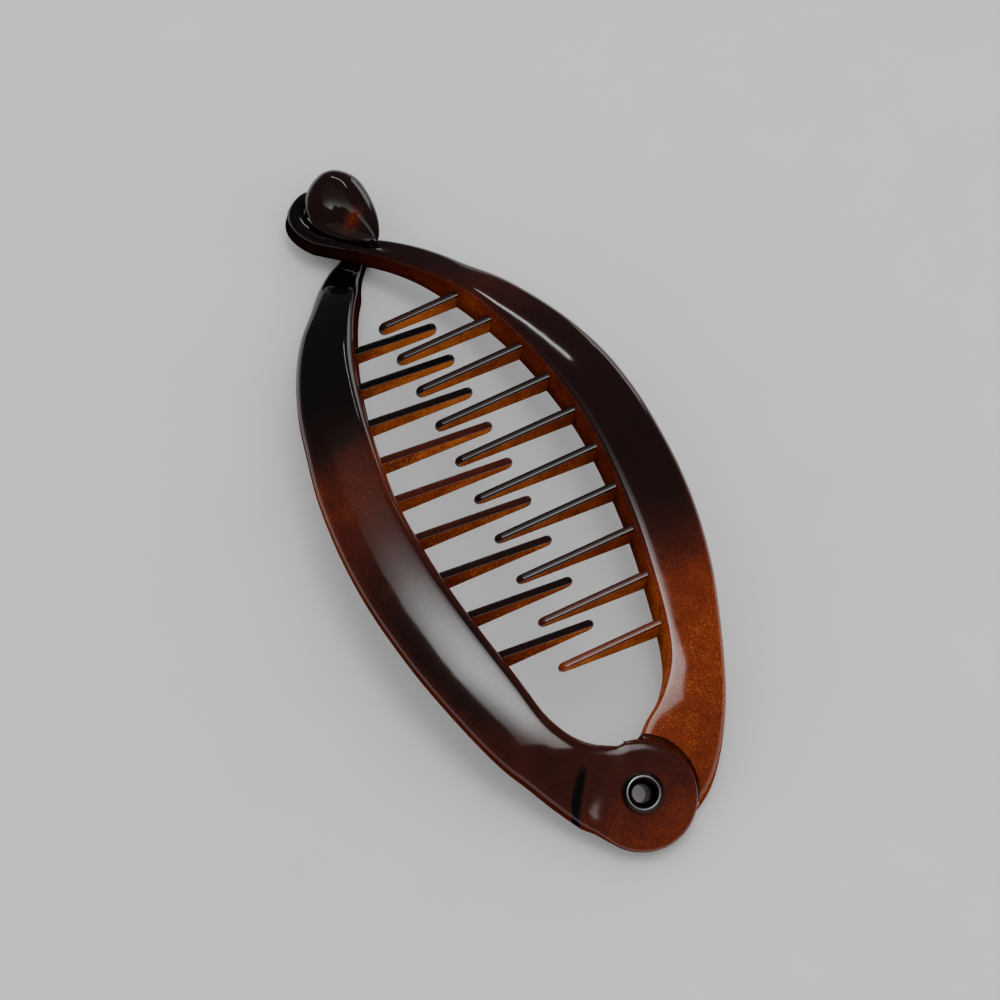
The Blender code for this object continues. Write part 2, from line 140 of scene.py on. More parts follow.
# Outlines of the rolled ends: distance from the axis, height over the crest.
EYELET_UPPER_ROLL = (
    (EYELET_BORE_RADIUS, -2.2),
    (EYELET_BORE_RADIUS + 0.15, -1.5),
    (EYELET_BORE_RADIUS + 0.55, -0.7),
    (2.5, -0.1),
    (EYELET_CREST_RADIUS, 0.0),
    (2.95, -0.12),
    (3.25, -0.42),
    (3.5, -0.58),
    (3.45, -0.72),
)
EYELET_BARREL = (
    (EYELET_BARREL_RADIUS, -0.72),
    (EYELET_BARREL_RADIUS, -5.58),
)
EYELET_LOWER_ROLL = (
    (3.4, -5.58),
    (3.5, -5.72),
    (3.3, -5.9),
    (2.75, -6.1),
    (2.5, -6.25),
    (EYELET_BORE_RADIUS + 0.4, -6.3),
    (EYELET_BORE_RADIUS + 0.1, -6.1),
    (EYELET_BORE_RADIUS, -5.8),
)
# Half width of the painted highlight, a lighter band of metal along the eyelet's crest.
CREST_HIGHLIGHT_HALF_WIDTH = 0.16

# Slope of the arch line in degrees, positive where it falls toward the clasp.
ARCH_SLOPES = (
    (-90.0, -25.19),
    (-52.0, -25.19),
    (-44.0, -18.37),
    (-30.0, -11.87),
    (0.0, 1.21),
    (30.0, 13.14),
    (43.0, 18.24),
    (50.0, 17.04),
    (57.0, 10.04),
    (63.0, 5.04),
    (70.0, 4.04),
    (100.0, 4.04),
)

# Columns: inner x, inner y, outer x, outer y, flange bottom, underside, top edge,
# fall (the inner edge stands this much over the top edge and the outer one as much under),
# rounding.
RIGHT_ARM = (
    (0.5, -53.2, 5.5, -63.6, -1.80, -1.70, 2.75, 0.35, 1.2),
    (2.5, -50.8, 9.2, -62.0, -1.80, -1.70, 2.75, 0.35, 1.4),
    (4.7, -48.6, 12.2, -59.9, -1.80, -1.65, 2.80, 0.35, 1.6),
    (7.2, -46.9, 14.9, -56.9, -2.00, -1.35, 2.90, 0.40, 1.8),
    (9.4, -44.8, 17.2, -53.6, -2.60, -0.90, 3.00, 0.45, 1.8),
    (11.4, -42.2, 19.4, -49.6, -2.90, -0.60, 3.10, 0.45, 1.8),
    (12.8, -39.0, 21.6, -44.3, -3.40, -0.50, 3.20, 0.50, 1.8),
    (13.9, -34.6, 23.9, -37.8, -3.55, -0.50, 3.20, 0.50, 1.8),
    (15.0, -28.5, 26.3, -30.0, -3.40, -0.50, 3.20, 0.50, 1.8),
    (16.2, -20.5, 28.1, -21.0, -3.35, -0.50, 3.20, 0.50, 1.8),
    (17.0, -12.0, 29.0, -12.0, -3.25, -0.50, 3.20, 0.50, 1.8),
    (17.4, -3.0, 29.1, -3.0, -3.20, -0.50, 3.20, 0.50, 1.8),
    (17.2, 5.0, 28.8, 4.5, -3.10, -0.50, 3.20, 0.50, 1.8),
    (16.3, 13.0, 27.7, 13.2, -3.00, -0.50, 3.20, 0.50, 1.8),
    (15.0, 21.0, 25.6, 21.4, -2.95, -0.50, 3.20, 0.50, 1.8),
    (13.2, 28.7, 22.9, 28.8, -3.00, -0.50, 3.20, 0.50, 1.8),
    (11.0, 36.2, 19.1, 36.85, -3.00, -0.50, 3.20, 0.45, 1.7),
    (8.9, 40.8, 15.15, 42.75, -2.30, -0.60, 3.15, 0.35, 1.5),
    (7.2, 43.9, 12.6, 47.0, -1.50, -0.80, 3.05, 0.25, 1.3),
    (5.3, 47.1, 9.9, 50.7, -1.15, -0.95, 2.95, 0.15, 1.2),
    (3.4, 49.9, 7.1, 53.6, -1.10, -1.00, 2.90, 0.10, 1.1),
    (1.3, 52.4, 4.25, 55.95, -1.10, -1.00, 2.90, 0.10, 1.1),
    (-0.8, 54.9, 1.6, 57.4, -1.10, -1.00, 2.90, 0.10, 1.1),
    (-2.9, 56.7, -0.5, 59.1, -1.10, -1.00, 2.90, 0.10, 1.1),
    (-4.9, 58.5, -2.5, 60.8, -1.10, -1.00, 2.90, 0.10, 1.4),
    (-6.8, 60.3, -3.7, 62.2, -1.10, -1.00, 2.90, 0.10, 1.4),
    (-8.1, 62.5, -4.5, 63.6, -1.10, -1.00, 2.90, 0.10, 1.4),
    (-8.85, 64.8, -4.9, 65.0, -1.10, -1.00, 2.90, 0.10, 1.4),
    (-8.85, 67.15, -5.0, 66.3, -1.10, -1.00, 2.90, 0.10, 1.4),
    (-7.95, 69.25, -4.8, 67.3, -1.10, -1.00, 2.90, 0.10, 1.4),
    (-6.2, 70.7, -4.1, 68.1, -1.10, -1.00, 2.90, 0.10, 1.0),
    (-4.3, 71.6, -3.1, 68.6, -1.10, -1.00, 2.90, 0.10, 1.0),
    (-2.2, 71.7, -2.0, 68.7, -1.10, -1.00, 2.90, 0.10, 1.0),
    (-0.4, 71.3, -0.9, 68.6, -1.10, -1.00, 2.90, 0.10, 1.0),
    (0.3, 70.5, 0.0, 69.0, -0.80, -0.70, 2.40, 0.05, 0.6),
)

# The same columns, with x measured toward the left arm, from beside the disc to the keeper.
LEFT_ARM = (
    (0.8, -50.75, 9.35, -61.5, 0.80, 0.80, 3.20, 0.00, 0.9),
    (2.3, -49.85, 11.1, -59.35, 0.10, 0.30, 3.10, 0.12, 1.4),
    (4.3, -48.8, 12.7, -56.9, -1.20, -0.30, 3.05, 0.25, 1.7),
    (6.3, -47.25, 14.6, -54.0, -2.30, -0.60, 3.05, 0.40, 1.8),
    (8.0, -45.15, 16.7, -50.6, -2.80, -0.60, 3.10, 0.45, 1.8),
    (9.8, -41.5, 19.4, -46.3, -3.20, -0.50, 3.20, 0.50, 1.8),
    (11.1, -36.0, 22.0, -40.3, -3.60, -0.50, 3.20, 0.50, 1.8),
    (12.6, -30.0, 24.9, -31.8, -3.75, -0.50, 3.20, 0.50, 1.8),
    (14.2, -23.0, 26.9, -24.0, -3.55, -0.50, 3.20, 0.50, 1.8),
    (15.6, -15.0, 28.4, -15.2, -3.50, -0.50, 3.20, 0.50, 1.8),
    (16.4, -7.0, 28.95, -7.0, -3.40, -0.50, 3.20, 0.50, 1.8),
    (16.6, 1.0, 28.75, 0.8, -3.30, -0.50, 3.20, 0.50, 1.8),
    (15.8, 9.0, 27.9, 8.8, -3.20, -0.50, 3.20, 0.50, 1.8),
    (14.6, 17.0, 26.2, 17.0, -3.10, -0.50, 3.20, 0.50, 1.8),
    (13.0, 24.5, 24.3, 24.8, -3.10, -0.50, 3.20, 0.50, 1.8),
    (11.0, 31.4, 21.2, 33.15, -3.10, -0.50, 3.20, 0.45, 1.8),
    (8.6, 37.5, 17.35, 40.4, -2.80, -0.60, 3.00, 0.40, 1.7),
    (6.0, 43.0, 13.3, 45.9, -2.40, -1.10, 2.45, 0.30, 1.6),
    (3.7, 47.1, 9.5, 51.2, -3.10, -2.10, 1.40, 0.20, 1.5),
    (2.3, 50.2, 6.1, 54.8, -4.00, -3.40, 0.00, 0.10, 1.2),
    (0.9, 52.8, 3.3, 57.2, -4.80, -4.65, -1.60, 0.05, 0.9),
    (-0.5, 54.9, 0.8, 59.4, -5.00, -4.90, -1.60, 0.05, 0.8),
    (-2.2, 57.0, -1.2, 61.9, -5.10, -5.00, -1.60, 0.05, 0.8),
    (-3.4, 59.4, -0.5, 64.0, -5.10, -5.00, -1.60, 0.05, 0.8),
)
# Bearings on the disc's rim, from the right arm's side, where the arm's last sections end.
DISC_BEARINGS = ((58.0, 238.0), (66.0, 231.0), (75.0, 224.0), (84.0, 217.0))

# Columns: root x, tip x past the middle, depth at the root, depth at the tip.
RIGHT_TEETH = (
    (10.3, -3.8, 3.8, 2.6),
    (12.9, -4.0, 4.0, 2.5),
    (14.8, -4.0, 4.1, 2.4),
    (16.1, -4.1, 4.3, 2.3),
    (17.0, -4.1, 4.4, 2.1),
    (17.4, -4.3, 4.6, 1.8),
    (17.2, -4.3, 4.6, 1.7),
    (16.4, -4.1, 4.3, 1.6),
    (15.3, -3.9, 4.2, 1.6),
    (13.8, -4.0, 4.3, 1.6),
)
LEFT_TEETH = (
    (10.0, -5.3, 3.9, 2.6),
    (12.7, -5.1, 4.0, 2.5),
    (14.5, -4.8, 4.2, 2.3),
    (15.8, -4.8, 4.4, 2.2),
    (16.6, -4.8, 4.5, 2.1),
    (16.4, -4.6, 4.6, 2.0),
    (15.6, -4.6, 4.7, 1.9),
    (14.2, -4.6, 4.6, 1.8),
    (12.4, -4.7, 4.7, 1.8),
)

# Outline of the domed cap over the hook, seen from above.
CAP_OUTLINE = (
    (3.5, 54.9),
    (4.8, 57.2),
    (5.7, 60.2),
    (6.1, 63.3),
    (6.1, 66.2),
    (5.75, 68.6),
    (4.65, 70.7),
    (2.8, 72.3),
    (0.7, 72.6),
    (-1.15, 71.85),
    (-2.95, 70.5),
    (-4.3, 68.75),
    (-5.1, 66.8),
    (-5.3, 64.9),
    (-5.2, 63.1),
    (-4.3, 61.1),
    (-2.9, 59.2),
    (-1.3, 57.5),
    (0.7, 55.9),
    (2.2, 55.2),
)
CAP_CENTRE = (0.8, 68.2)
# Columns: share of the outline kept, height over the arch line.
CAP_RINGS = (
    (0.90, 3.45),
    (0.98, 3.5),
    (1.00, 3.8),
    (0.99, 4.3),
    (0.94, 4.8),
    (0.83, 5.35),
    (0.66, 5.8),
    (0.36, 6.15),
    (0.06, 6.22),
)
CAP_EDGE = 3.8
# The crease across the cap's face above the hook, which ends the arc that falls from its crown.
CAP_CREASE = (
    (-5.1, 63.2),
    (-3.3, 62.2),
    (-1.0, 61.0),
    (0.2, 59.6),
    (1.2, 58.0),
    (2.4, 56.4),
    (3.5, 54.9),
)
CAP_CROWN_Y = 66.6
CAP_ARC_RADIUS = 7.0
CAP_ARC_REACH = 4.4
CAP_GLOW = (1.0, 60.2)
CAP_GLOW_LENGTH = 3.6
CAP_GLOW_WIDTH = 2.0
CAP_GLOW_LIT = 0.62

# Outline of the keeper's floor, which passes under the hook.
KEEPER_OUTLINE = (
    (2.6, 56.4),
    (4.6, 58.6),
    (5.6, 62.5),
    (5.6, 67.0),
    (4.8, 71.5),
    (4.0, 74.9),
    (2.2, 75.6),
    (0.4, 75.2),
    (-1.0, 73.6),
    (-2.6, 70.0),
    (-3.2, 66.0),
    (-2.6, 62.4),
    (-1.0, 59.6),
)
KEEPER_FLOOR_V = -1.5
KEEPER_FLOOR_UNDERSIDE_V = -1.9
KEEPER_FLOOR_ROUNDING = 0.1
KEEPER_FLOOR_CENTRE = (1.2, 66.0)
# Columns: height, left x, right x, inner y, outer y at the middle.
KEEPER_WALL = (
    (-3.0, -0.8, 4.2, 72.2, 75.7),
    (-1.0, -1.0, 4.2, 72.2, 75.5),
    (1.0, -1.2, 4.1, 72.2, 74.5),
    (3.0, -1.4, 3.8, 72.15, 73.3),
    (3.7, -1.4, 3.6, 71.4, 72.9),
    (4.3, -1.2, 3.4, 70.8, 72.5),
)
KEEPER_WALL_ROUNDNESS = 0.75
KEEPER_WALL_STEPS = 16

# The torn flake of flash beside the disc.
FLAKE_OUTLINE = (
    (0.6, -51.2, 1.9),
    (0.4, -50.1, 2.3),
    (1.1, -50.7, 2.2),
    (1.8, -50.7, 2.1),
    (2.6, -50.8, 2.2),
    (3.6, -50.3, 2.3),
    (3.9, -51.7, 1.9),
)
FLAKE_THICKNESS = 0.35

# The shell's tone along each arm, from ink 0 to honey 1.
# Columns: place along the clip, tone of the top, tone where light comes through thin edges.
RIGHT_TONES = (
    (-62.0, 0.66, 0.90),
    (-55.0, 0.75, 0.92),
    (-41.0, 0.77, 0.92),
    (-31.0, 0.68, 0.90),
    (-26.0, 0.55, 0.88),
    (-21.0, 0.42, 0.86),
    (-14.0, 0.31, 0.88),
    (-6.0, 0.28, 0.90),
    (22.0, 0.32, 0.92),
    (29.0, 0.38, 0.95),
    (36.0, 0.44, 1.00),
    (43.0, 0.34, 0.80),
    (50.0, 0.28, 0.74),
    (57.0, 0.14, 0.46),
    (72.0, 0.12, 0.14),
)
LEFT_TONES = (
    (-70.0, 0.70, 0.80),
    (-62.0, 0.60, 0.74),
    (-54.0, 0.44, 0.70),
    (-44.0, 0.40, 0.80),
    (-36.0, 0.33, 0.88),
    (-24.0, 0.30, 0.88),
    (-15.0, 0.36, 0.87),
    (-6.0, 0.48, 0.88),
    (3.0, 0.58, 0.90),
    (9.0, 0.55, 0.93),
    (14.0, 0.38, 0.95),
    (19.0, 0.24, 1.00),
    (25.0, 0.15, 1.00),
    (34.0, 0.12, 1.00),
    (46.0, 0.12, 0.55),
    (54.0, 0.14, 0.20),
    (58.0, 0.27, 0.85),
    (72.0, 0.29, 0.85),
)

# The painted shade stripe across the left arm beside the disc lies where this direction gives this
# offset.
SHADE_STRIPE_NORMAL = (0.824, -0.566, 0.0)
SHADE_STRIPE_OFFSET = 25.92
SHADE_STRIPE_HALF_WIDTH = 0.6
SHADE_STRIPE_RUN = (-0.566, -0.824, 0.0)
SHADE_STRIPE_START = 50.3
SHADE_STRIPE_FADE = 2.0
SHADE_STRIPE_DARKNESS = 0.9
SHADE_STRIPE_DRIFT = 0.004

# Distance along the clip by which the tones drift with the noise.
TONE_DRIFT = 0.014

INK = (0.0010, 0.0006, 0.0006, 1.0)
OXBLOOD = (0.0085, 0.0026, 0.0023, 1.0)
BROWN = (0.037, 0.0060, 0.0030, 1.0)
AMBER = (0.122, 0.0190, 0.0042, 1.0)
HONEY = (0.46, 0.130, 0.024, 1.0)
SHELL_STOPS = ((0.0, INK), (0.12, INK), (0.34, OXBLOOD), (0.58, BROWN), (0.82, AMBER), (1.0, HONEY))
# Metal colours, from dark to the light grey of the painted highlight on the eyelet's crest.
METAL_STOPS = (
    (0.05, (0.06, 0.036, 0.03, 1.0)),
    (0.3, (0.06, 0.052, 0.05, 1.0)),
    (1.0, (0.36, 0.36, 0.38, 1.0)),
)
PAPER_STOPS = ((0.3, (0.463, 0.463, 0.465, 1.0)), (0.7, (0.478, 0.478, 0.48, 1.0)))
DUST_COLOUR = (0.45, 0.40, 0.38, 1.0)
DUST_RADIUS = 0.05
DUST_RARITY = 0.93
RIGHT_SPECKLE = 0.62
LEFT_SPECKLE = 0.55
MOTTLE = 0.25
SHELL_ROUGHNESS = 0.035
SMEAR_ROUGHNESS = 0.07
UNEVENNESS = 0.00006
METAL_ROUGHNESS = 0.25
WEAR_SHARE = 0.2
GLOSSY_IOR = 1.5
THIN_EDGE_IOR = 1.0

# Noise scales, in cells to the metre.
GRAIN_SCALE = 4200.0
CLOUD_SCALE = 260.0
WAVE_SCALE = 90.0
DRIFT_SCALE = 70.0
DUST_SCALE = 330.0
WEAR_SCALE = 900.0
FIBRE_SCALE = 60.0
NOISE_ROUGHNESS = 0.6


# The arch and the frames that the pieces are placed in.

def arch_profile():
    """Stations along y and the arch line's height at each, from slopes smoothed over 6 mm."""
    y = np.linspace(-90.0, 100.0, 1901)
    knots = np.array(ARCH_SLOPES)
    slope = np.radians(np.interp(y, knots[:, 0], knots[:, 1]))
    window = np.hanning(61)
    slope = np.convolve(np.pad(slope, 30, "edge"), window / window.sum(), "valid")
    rise = np.tan(slope)
    height = -np.concatenate(([0.0], np.cumsum((rise[1:] + rise[:-1]) / 2 * (y[1] - y[0]))))
    return y, height - np.interp(0.0, y, height) + ARCH_TOP_Z


ARCH_Y, ARCH_Z = arch_profile()


def arch(y):
    """The arch line's height over the table."""
    return float(np.interp(y, ARCH_Y, ARCH_Z))


def at(x, y, v):
    """A design point in the part's frame, in metres."""
    return Vector((x + SHIFT_X, y + SHIFT_Y, arch(y) + v)) * MM


def hinge_frame():
    """Millimetres from the eyelet's crest: x and y in the lug plane, z up the hinge axis."""
    crest = at(0.0, HINGE_Y, HINGE_CREST_V)
    turn = Matrix.Rotation(LUG_SLOPE, 4, "X")
    return Matrix.Translation(crest) @ turn @ Matrix.Scale(MM, 4)


DISC_TOP_V = HINGE_CREST_V - DISC_TOP / math.cos(LUG_SLOPE)
DISC_BOTTOM_V = HINGE_CREST_V - DISC_BOTTOM / math.cos(LUG_SLOPE)
DISC_CENTRE_Y = HINGE_Y + DISC_TOP * math.sin(LUG_SLOPE) - DISC_SETBACK * math.cos(LUG_SLOPE)
# How far a wall square to the lugs moves along y for each unit of height over the arch line.
LEAN = math.sin(LUG_SLOPE) * math.cos(LUG_SLOPE)


def smooth_rows(rows, per_row, closed=False):
    """Catmull-Rom curve through the rows, with per_row steps between neighbours."""
    table = np.array(rows, float)
    if closed:
        padded = np.vstack((table[-1], table, table[0], table[1]))
        spans = len(table)
    else:
        padded = np.vstack((2 * table[0] - table[1], table, 2 * table[-1] - table[-2]))
        spans = len(table) - 1
    found = []
    for i in range(spans):
        a, b, c, d = padded[i : i + 4]
        for step in range(per_row):
            t = step / per_row
            found.append(
                0.5
                * (
                    2 * b
                    + (c - a) * t
                    + (2 * a - 5 * b + 4 * c - d) * t * t
                    + (3 * b - 3 * c + d - a) * t**3
                )
            )
    if not closed:
        found.append(table[-1])
    return found


# Mesh helpers.

def ring_of(bm, points):
    """A closed loop of edges through the points."""
    corners = [bm.verts.new(point) for point in points]
    return [bm.edges.new(pair) for pair in zip(corners, corners[1:] + corners[:1])]


def bridge(bm, rings, fill_first=True):
    """Faces between neighbouring rings, and over the last ring and, if asked, the first."""
    for near, far in zip(rings, rings[1:]):
        bmesh.ops.bridge_loops(bm, edges=near + far)
    for ring in [rings[0]] * fill_first + [rings[-1]]:
        bmesh.ops.edgeloop_fill(bm, edges=ring)


def round_edges(bm, edges, radius):
    bmesh.ops.bevel(
        bm,
        geom=edges,
        offset=radius,
        segments=4,
        profile=0.5,
        material=-1,
        affect="EDGES",
    )


def skin(sections):
    """A closed shell over rings of points."""
    bm = bmesh.new()
    bridge(bm, [ring_of(bm, points) for points in sections])
    bmesh.ops.recalc_face_normals(bm, faces=bm.faces)
    return bm


def add_shell(bm, other):
    """Moves the other mesh's shells into bm."""
    held = bpy.data.meshes.new("shell")
    other.to_mesh(held)
    other.free()
    bm.from_mesh(held)
    bpy.data.meshes.remove(held)


def finish_mesh(name, bm, materials):
    """An object of the mesh, whose lit faces get the second of its materials."""
    layer = bm.verts.layers.float.get("lit")
    if layer and len(materials) > 1:
        for face in bm.faces:
            face.material_index = int(all(v[layer] >= MATTE_FROM for v in face.verts))
    mesh = bpy.data.meshes.new(name)
    bm.to_mesh(mesh)
    bm.free()
    made = bpy.data.objects.new(name, mesh)
    bpy.context.scene.collection.objects.link(made)
    for material in materials:
        mesh.materials.append(material)
    for polygon in mesh.polygons:
        polygon.use_smooth = True
    mesh.set_sharp_from_angle(angle=SHARP_ANGLE)
    return made


def cut(target, bm, operation="DIFFERENCE"):
    """Cuts the shape in bm out of the target mesh, or joins it, and leaves one plain mesh."""
    tool = finish_mesh("cutter", bm, [])
    modifier = target.modifiers.new("cut", "BOOLEAN")
    modifier.operation = operation
    modifier.solver = "EXACT"
    modifier.object = tool
    graph = bpy.context.evaluated_depsgraph_get()
    mesh = bpy.data.meshes.new_from_object(target.evaluated_get(graph), depsgraph=graph)
    target.modifiers.clear()
    target.data = mesh
    bpy.data.objects.remove(tool, do_unlink=True)


# Arms.

def arm_section(width, lean, inner_limit, power, flange, under, top, fall, rounding):
    """Points (distance from the flange's foot, height, lit share) round the arm's section."""
    wall = min(FLANGE_THICKNESS, FLANGE_SHARE * width)
    outer_r = min(rounding, ROUNDING_SHARE * width)
    inner_r = min(outer_r, inner_limit)
    high = top + fall
    low = top - fall
    span = width - lean - inner_r - outer_r
    tilt = math.atan2(2 * power * fall, span)
    run = span + outer_r * math.sin(tilt)
    corner = 0.3 * FOOT_RADIUS
    rise = min(FOOT_RADIUS, (under - flange) / 3)
    points = [
        (0.0, flange + FOOT_RADIUS, WALL_FOOT_LIT),
        (0.5 * lean, (flange + high - inner_r) / 2, INNER_WALL_LIT),
    ]
    for step in range(ROUNDING_STEPS + 1):
        a = math.radians(90 * step / ROUNDING_STEPS)
        s = lean + inner_r * (1 - math.cos(a))
        points.append((s, high - inner_r * (1 - math.sin(a)), EDGE_LIT * math.cos(a) ** 2))
    for step in range(1, CROWN_STEPS):
        q = step / CROWN_STEPS
        points.append((lean + inner_r + q * run, high - (high - low) * q**power, 0.0))
    for step in range(ROUNDING_STEPS + 1):
        a = tilt + (math.pi / 2 - tilt) * step / ROUNDING_STEPS
        s = width - outer_r + outer_r * math.sin(a)
        drop = outer_r * (math.cos(tilt) - math.cos(a))
        points.append((s, low - drop, EDGE_LIT * step / ROUNDING_STEPS))
    points += [
        (width, (under + low - outer_r) / 2, OUTER_WALL_LIT),
        (width, under + FOOT_RADIUS, OUTER_FOOT_LIT),
        (width - corner, under + corner, OUTER_WALL_LIT),
        (width - FOOT_RADIUS, under, OUTER_WALL_LIT),
        (width - wall + FOOT_RADIUS, under, UNDERSIDE_RIM_LIT),
        (width - wall, under, UNDERSIDE_RIM_LIT),
        (width - wall - FOOT_RADIUS, under, UNDERSIDE_RIM_LIT),
        (width / 2, under, UNDERSIDE_LIT),
        (wall + FOOT_RADIUS, under, UNDERSIDE_LIT),
        (wall, under - rise, UNDERSIDE_RIM_LIT),
        (wall, flange + rise, FLANGE_BACK_LIT),
        (wall - FOOT_RADIUS, flange, FLANGE_EDGE_LIT),
        (FOOT_RADIUS, flange, FLANGE_FOOT_LIT),
        (corner, flange + corner, FLANGE_FOOT_LIT),
    ]
    return points


def section_points(row, side, over_disc=0.0):
    """One section of an arm in place, and its lit shares.

    The right arm's table gives the flange's foot, and the left arm's the top of its inner wall.
    """
    inner = Vector((side * row[0], row[1]))
    outer = Vector((side * row[2], row[3]))
    across = (outer - inner).normalized()
    draft = WALL_DRAFT * (row[6] + row[7] - row[4]) * (1.0 - over_disc)
    if side < 0:
        inner -= across * draft
    points, lit = [], []
    limit, power = math.inf, CROWN_POWER
    if side > 0:
        power += FLATTER_CROWN * float(np.clip((FLATTER_FROM_Y - row[1]) / FLATTER_RUN, 0, 1))
        if row[1] < HOOK_START_Y:
            limit = RIGHT_INNER_ROUNDING
    for s, v, share in arm_section((outer - inner).length, draft, limit, power, *row[4:]):
        place = inner + across * s
        points.append(at(place.x, place.y - over_disc * LEAN * (v - DISC_TOP_V), v))
        lit.append(share)
    return points, lit


def arm_shell(rows, side, over_disc, closed_first=True):
    """The arm's skin over all its sections, and the edges of the first one."""
    bm = bmesh.new()
    layer = bm.verts.layers.float.new("lit")
    rings = []
    for row, share_over in zip(rows, over_disc):
        points, lit = section_points(row, side, share_over)
        ring = ring_of(bm, points)
        bm.verts.ensure_lookup_table()
        for vert, share in zip(bm.verts[-len(points) :], lit):
            vert[layer] = share
        rings.append(ring)
    first = rings[0]
    bridge(bm, rings, fill_first=closed_first)
    return bm, first


def disc_row(bearings):
    """A section across the hinge disc, between two bearings on its rim."""
    ends = []
    for bearing in bearings:
        a = math.radians(bearing)
        x = DISC_RADIUS * math.cos(a)
        y = DISC_CENTRE_Y + DISC_RADIUS * math.sin(a) * math.cos(LUG_SLOPE)
        ends += [-x, y]
    return (*ends, DISC_BOTTOM_V, DISC_BOTTOM_V, DISC_TOP_V, 0.0, DISC_ROUNDING)


def left_arm_shell():
    """The left arm, with its rounded end spun about the middle of the hinge disc."""
    table = [disc_row(pair) for pair in DISC_BEARINGS] + list(LEFT_ARM)
    rows = smooth_rows(table, STATIONS_PER_ROW)
    on_disc = STATIONS_PER_ROW * (len(DISC_BEARINGS) - 1)
    blended = on_disc + DISC_BLEND_STATIONS - np.arange(len(rows))
    over_disc = [float(share) for share in np.clip(blended / DISC_BLEND_STATIONS, 0, 1)]
    bm, first = arm_shell(rows, -1, over_disc, closed_first=False)
    ring = {v for edge in first for v in edge.verts}
    to_local = hinge_frame().inverted()
    middle = Vector((0.0, -DISC_SETBACK, 0.0))
    bearing = math.radians(DISC_BEARINGS[0][0])
    toward = Vector((math.cos(bearing), math.sin(bearing), 0.0))
    near_side = [v for v in ring if (to_local @ v.co - middle).dot(toward) > -1e-3]
    edges = [e for e in first if all(v in near_side for v in e.verts)]
    bmesh.ops.spin(
        bm,
        geom=near_side + edges,
        cent=hinge_frame() @ middle,
        axis=hinge_frame().to_3x3() @ Vector((0.0, 0.0, 1.0)),
        angle=-math.pi,
        steps=DISC_STEPS,
        use_merge=False,
    )
    bmesh.ops.remove_doubles(bm, verts=bm.verts, dist=3e-5)
    bmesh.ops.recalc_face_normals(bm, faces=bm.faces)
    return bm


def lug_disc(radius, depths, sidestep=0.0, rounding=0.0, segments=LUG_SEGMENTS):
    """A disc square to the eyelet, between two depths under the eyelet's crest."""
    upper, lower = depths
    bm = bmesh.new()
    bmesh.ops.create_cone(
        bm,
        cap_ends=True,
        segments=segments,
        radius1=radius,
        radius2=radius,
        depth=lower - upper,
    )
    if rounding:
        rims = [e for e in bm.edges if abs(e.verts[0].co.z - e.verts[1].co.z) < 1e-6]
        round_edges(bm, rims, rounding)
    place = Matrix.Translation((sidestep, 0.0, -(upper + lower) / 2))
    bmesh.ops.transform(bm, matrix=hinge_frame() @ place, verts=bm.verts)
    return bm


def cut_bore(arm):
    cut(arm, lug_disc(LUG_BORE_RADIUS, BORE_DEPTHS, segments=BORE_SEGMENTS))


# Teeth.

def tooth_top(x):
    """The height of a tooth's upper edge over the arch line."""
    return TOOTH_DROOP * x


def tooth_outline(root_x, tip_x, root_depth, tip_depth):
    """The side outline, from inside the wall round the nose and back along the lower edge."""
    base_x = root_x + TOOTH_DEPTH_IN_WALL
    foot_x = root_x - TOOTH_ROOT_RUN
    middle_x = 0.5 * (root_x + tip_x)
    outline = [(base_x, tooth_top(base_x)), (foot_x, tooth_top(foot_x))]
    nose = Vector((tip_x + TOOTH_NOSE_LENGTH, tooth_top(tip_x) - tip_depth / 2))
    for step in range(TOOTH_NOSE_STEPS + 1):
        a = math.radians(90 + 180 * step / TOOTH_NOSE_STEPS)
        x = nose.x + TOOTH_NOSE_LENGTH * math.cos(a)
        outline.append((x, nose.y + tip_depth / 2 * math.sin(a)))
    return outline + [
        (middle_x, tooth_top(middle_x) - 0.5 * (root_depth + tip_depth)),
        (foot_x, tooth_top(foot_x) - root_depth + TOOTH_ROOT_RISE),
        (base_x, tooth_top(root_x) - root_depth),
    ]


def tooth_sides(bm):
    """The two flat sides, which are the only faces with many corners."""
    return [face for face in bm.faces if len(face.verts) > 8]


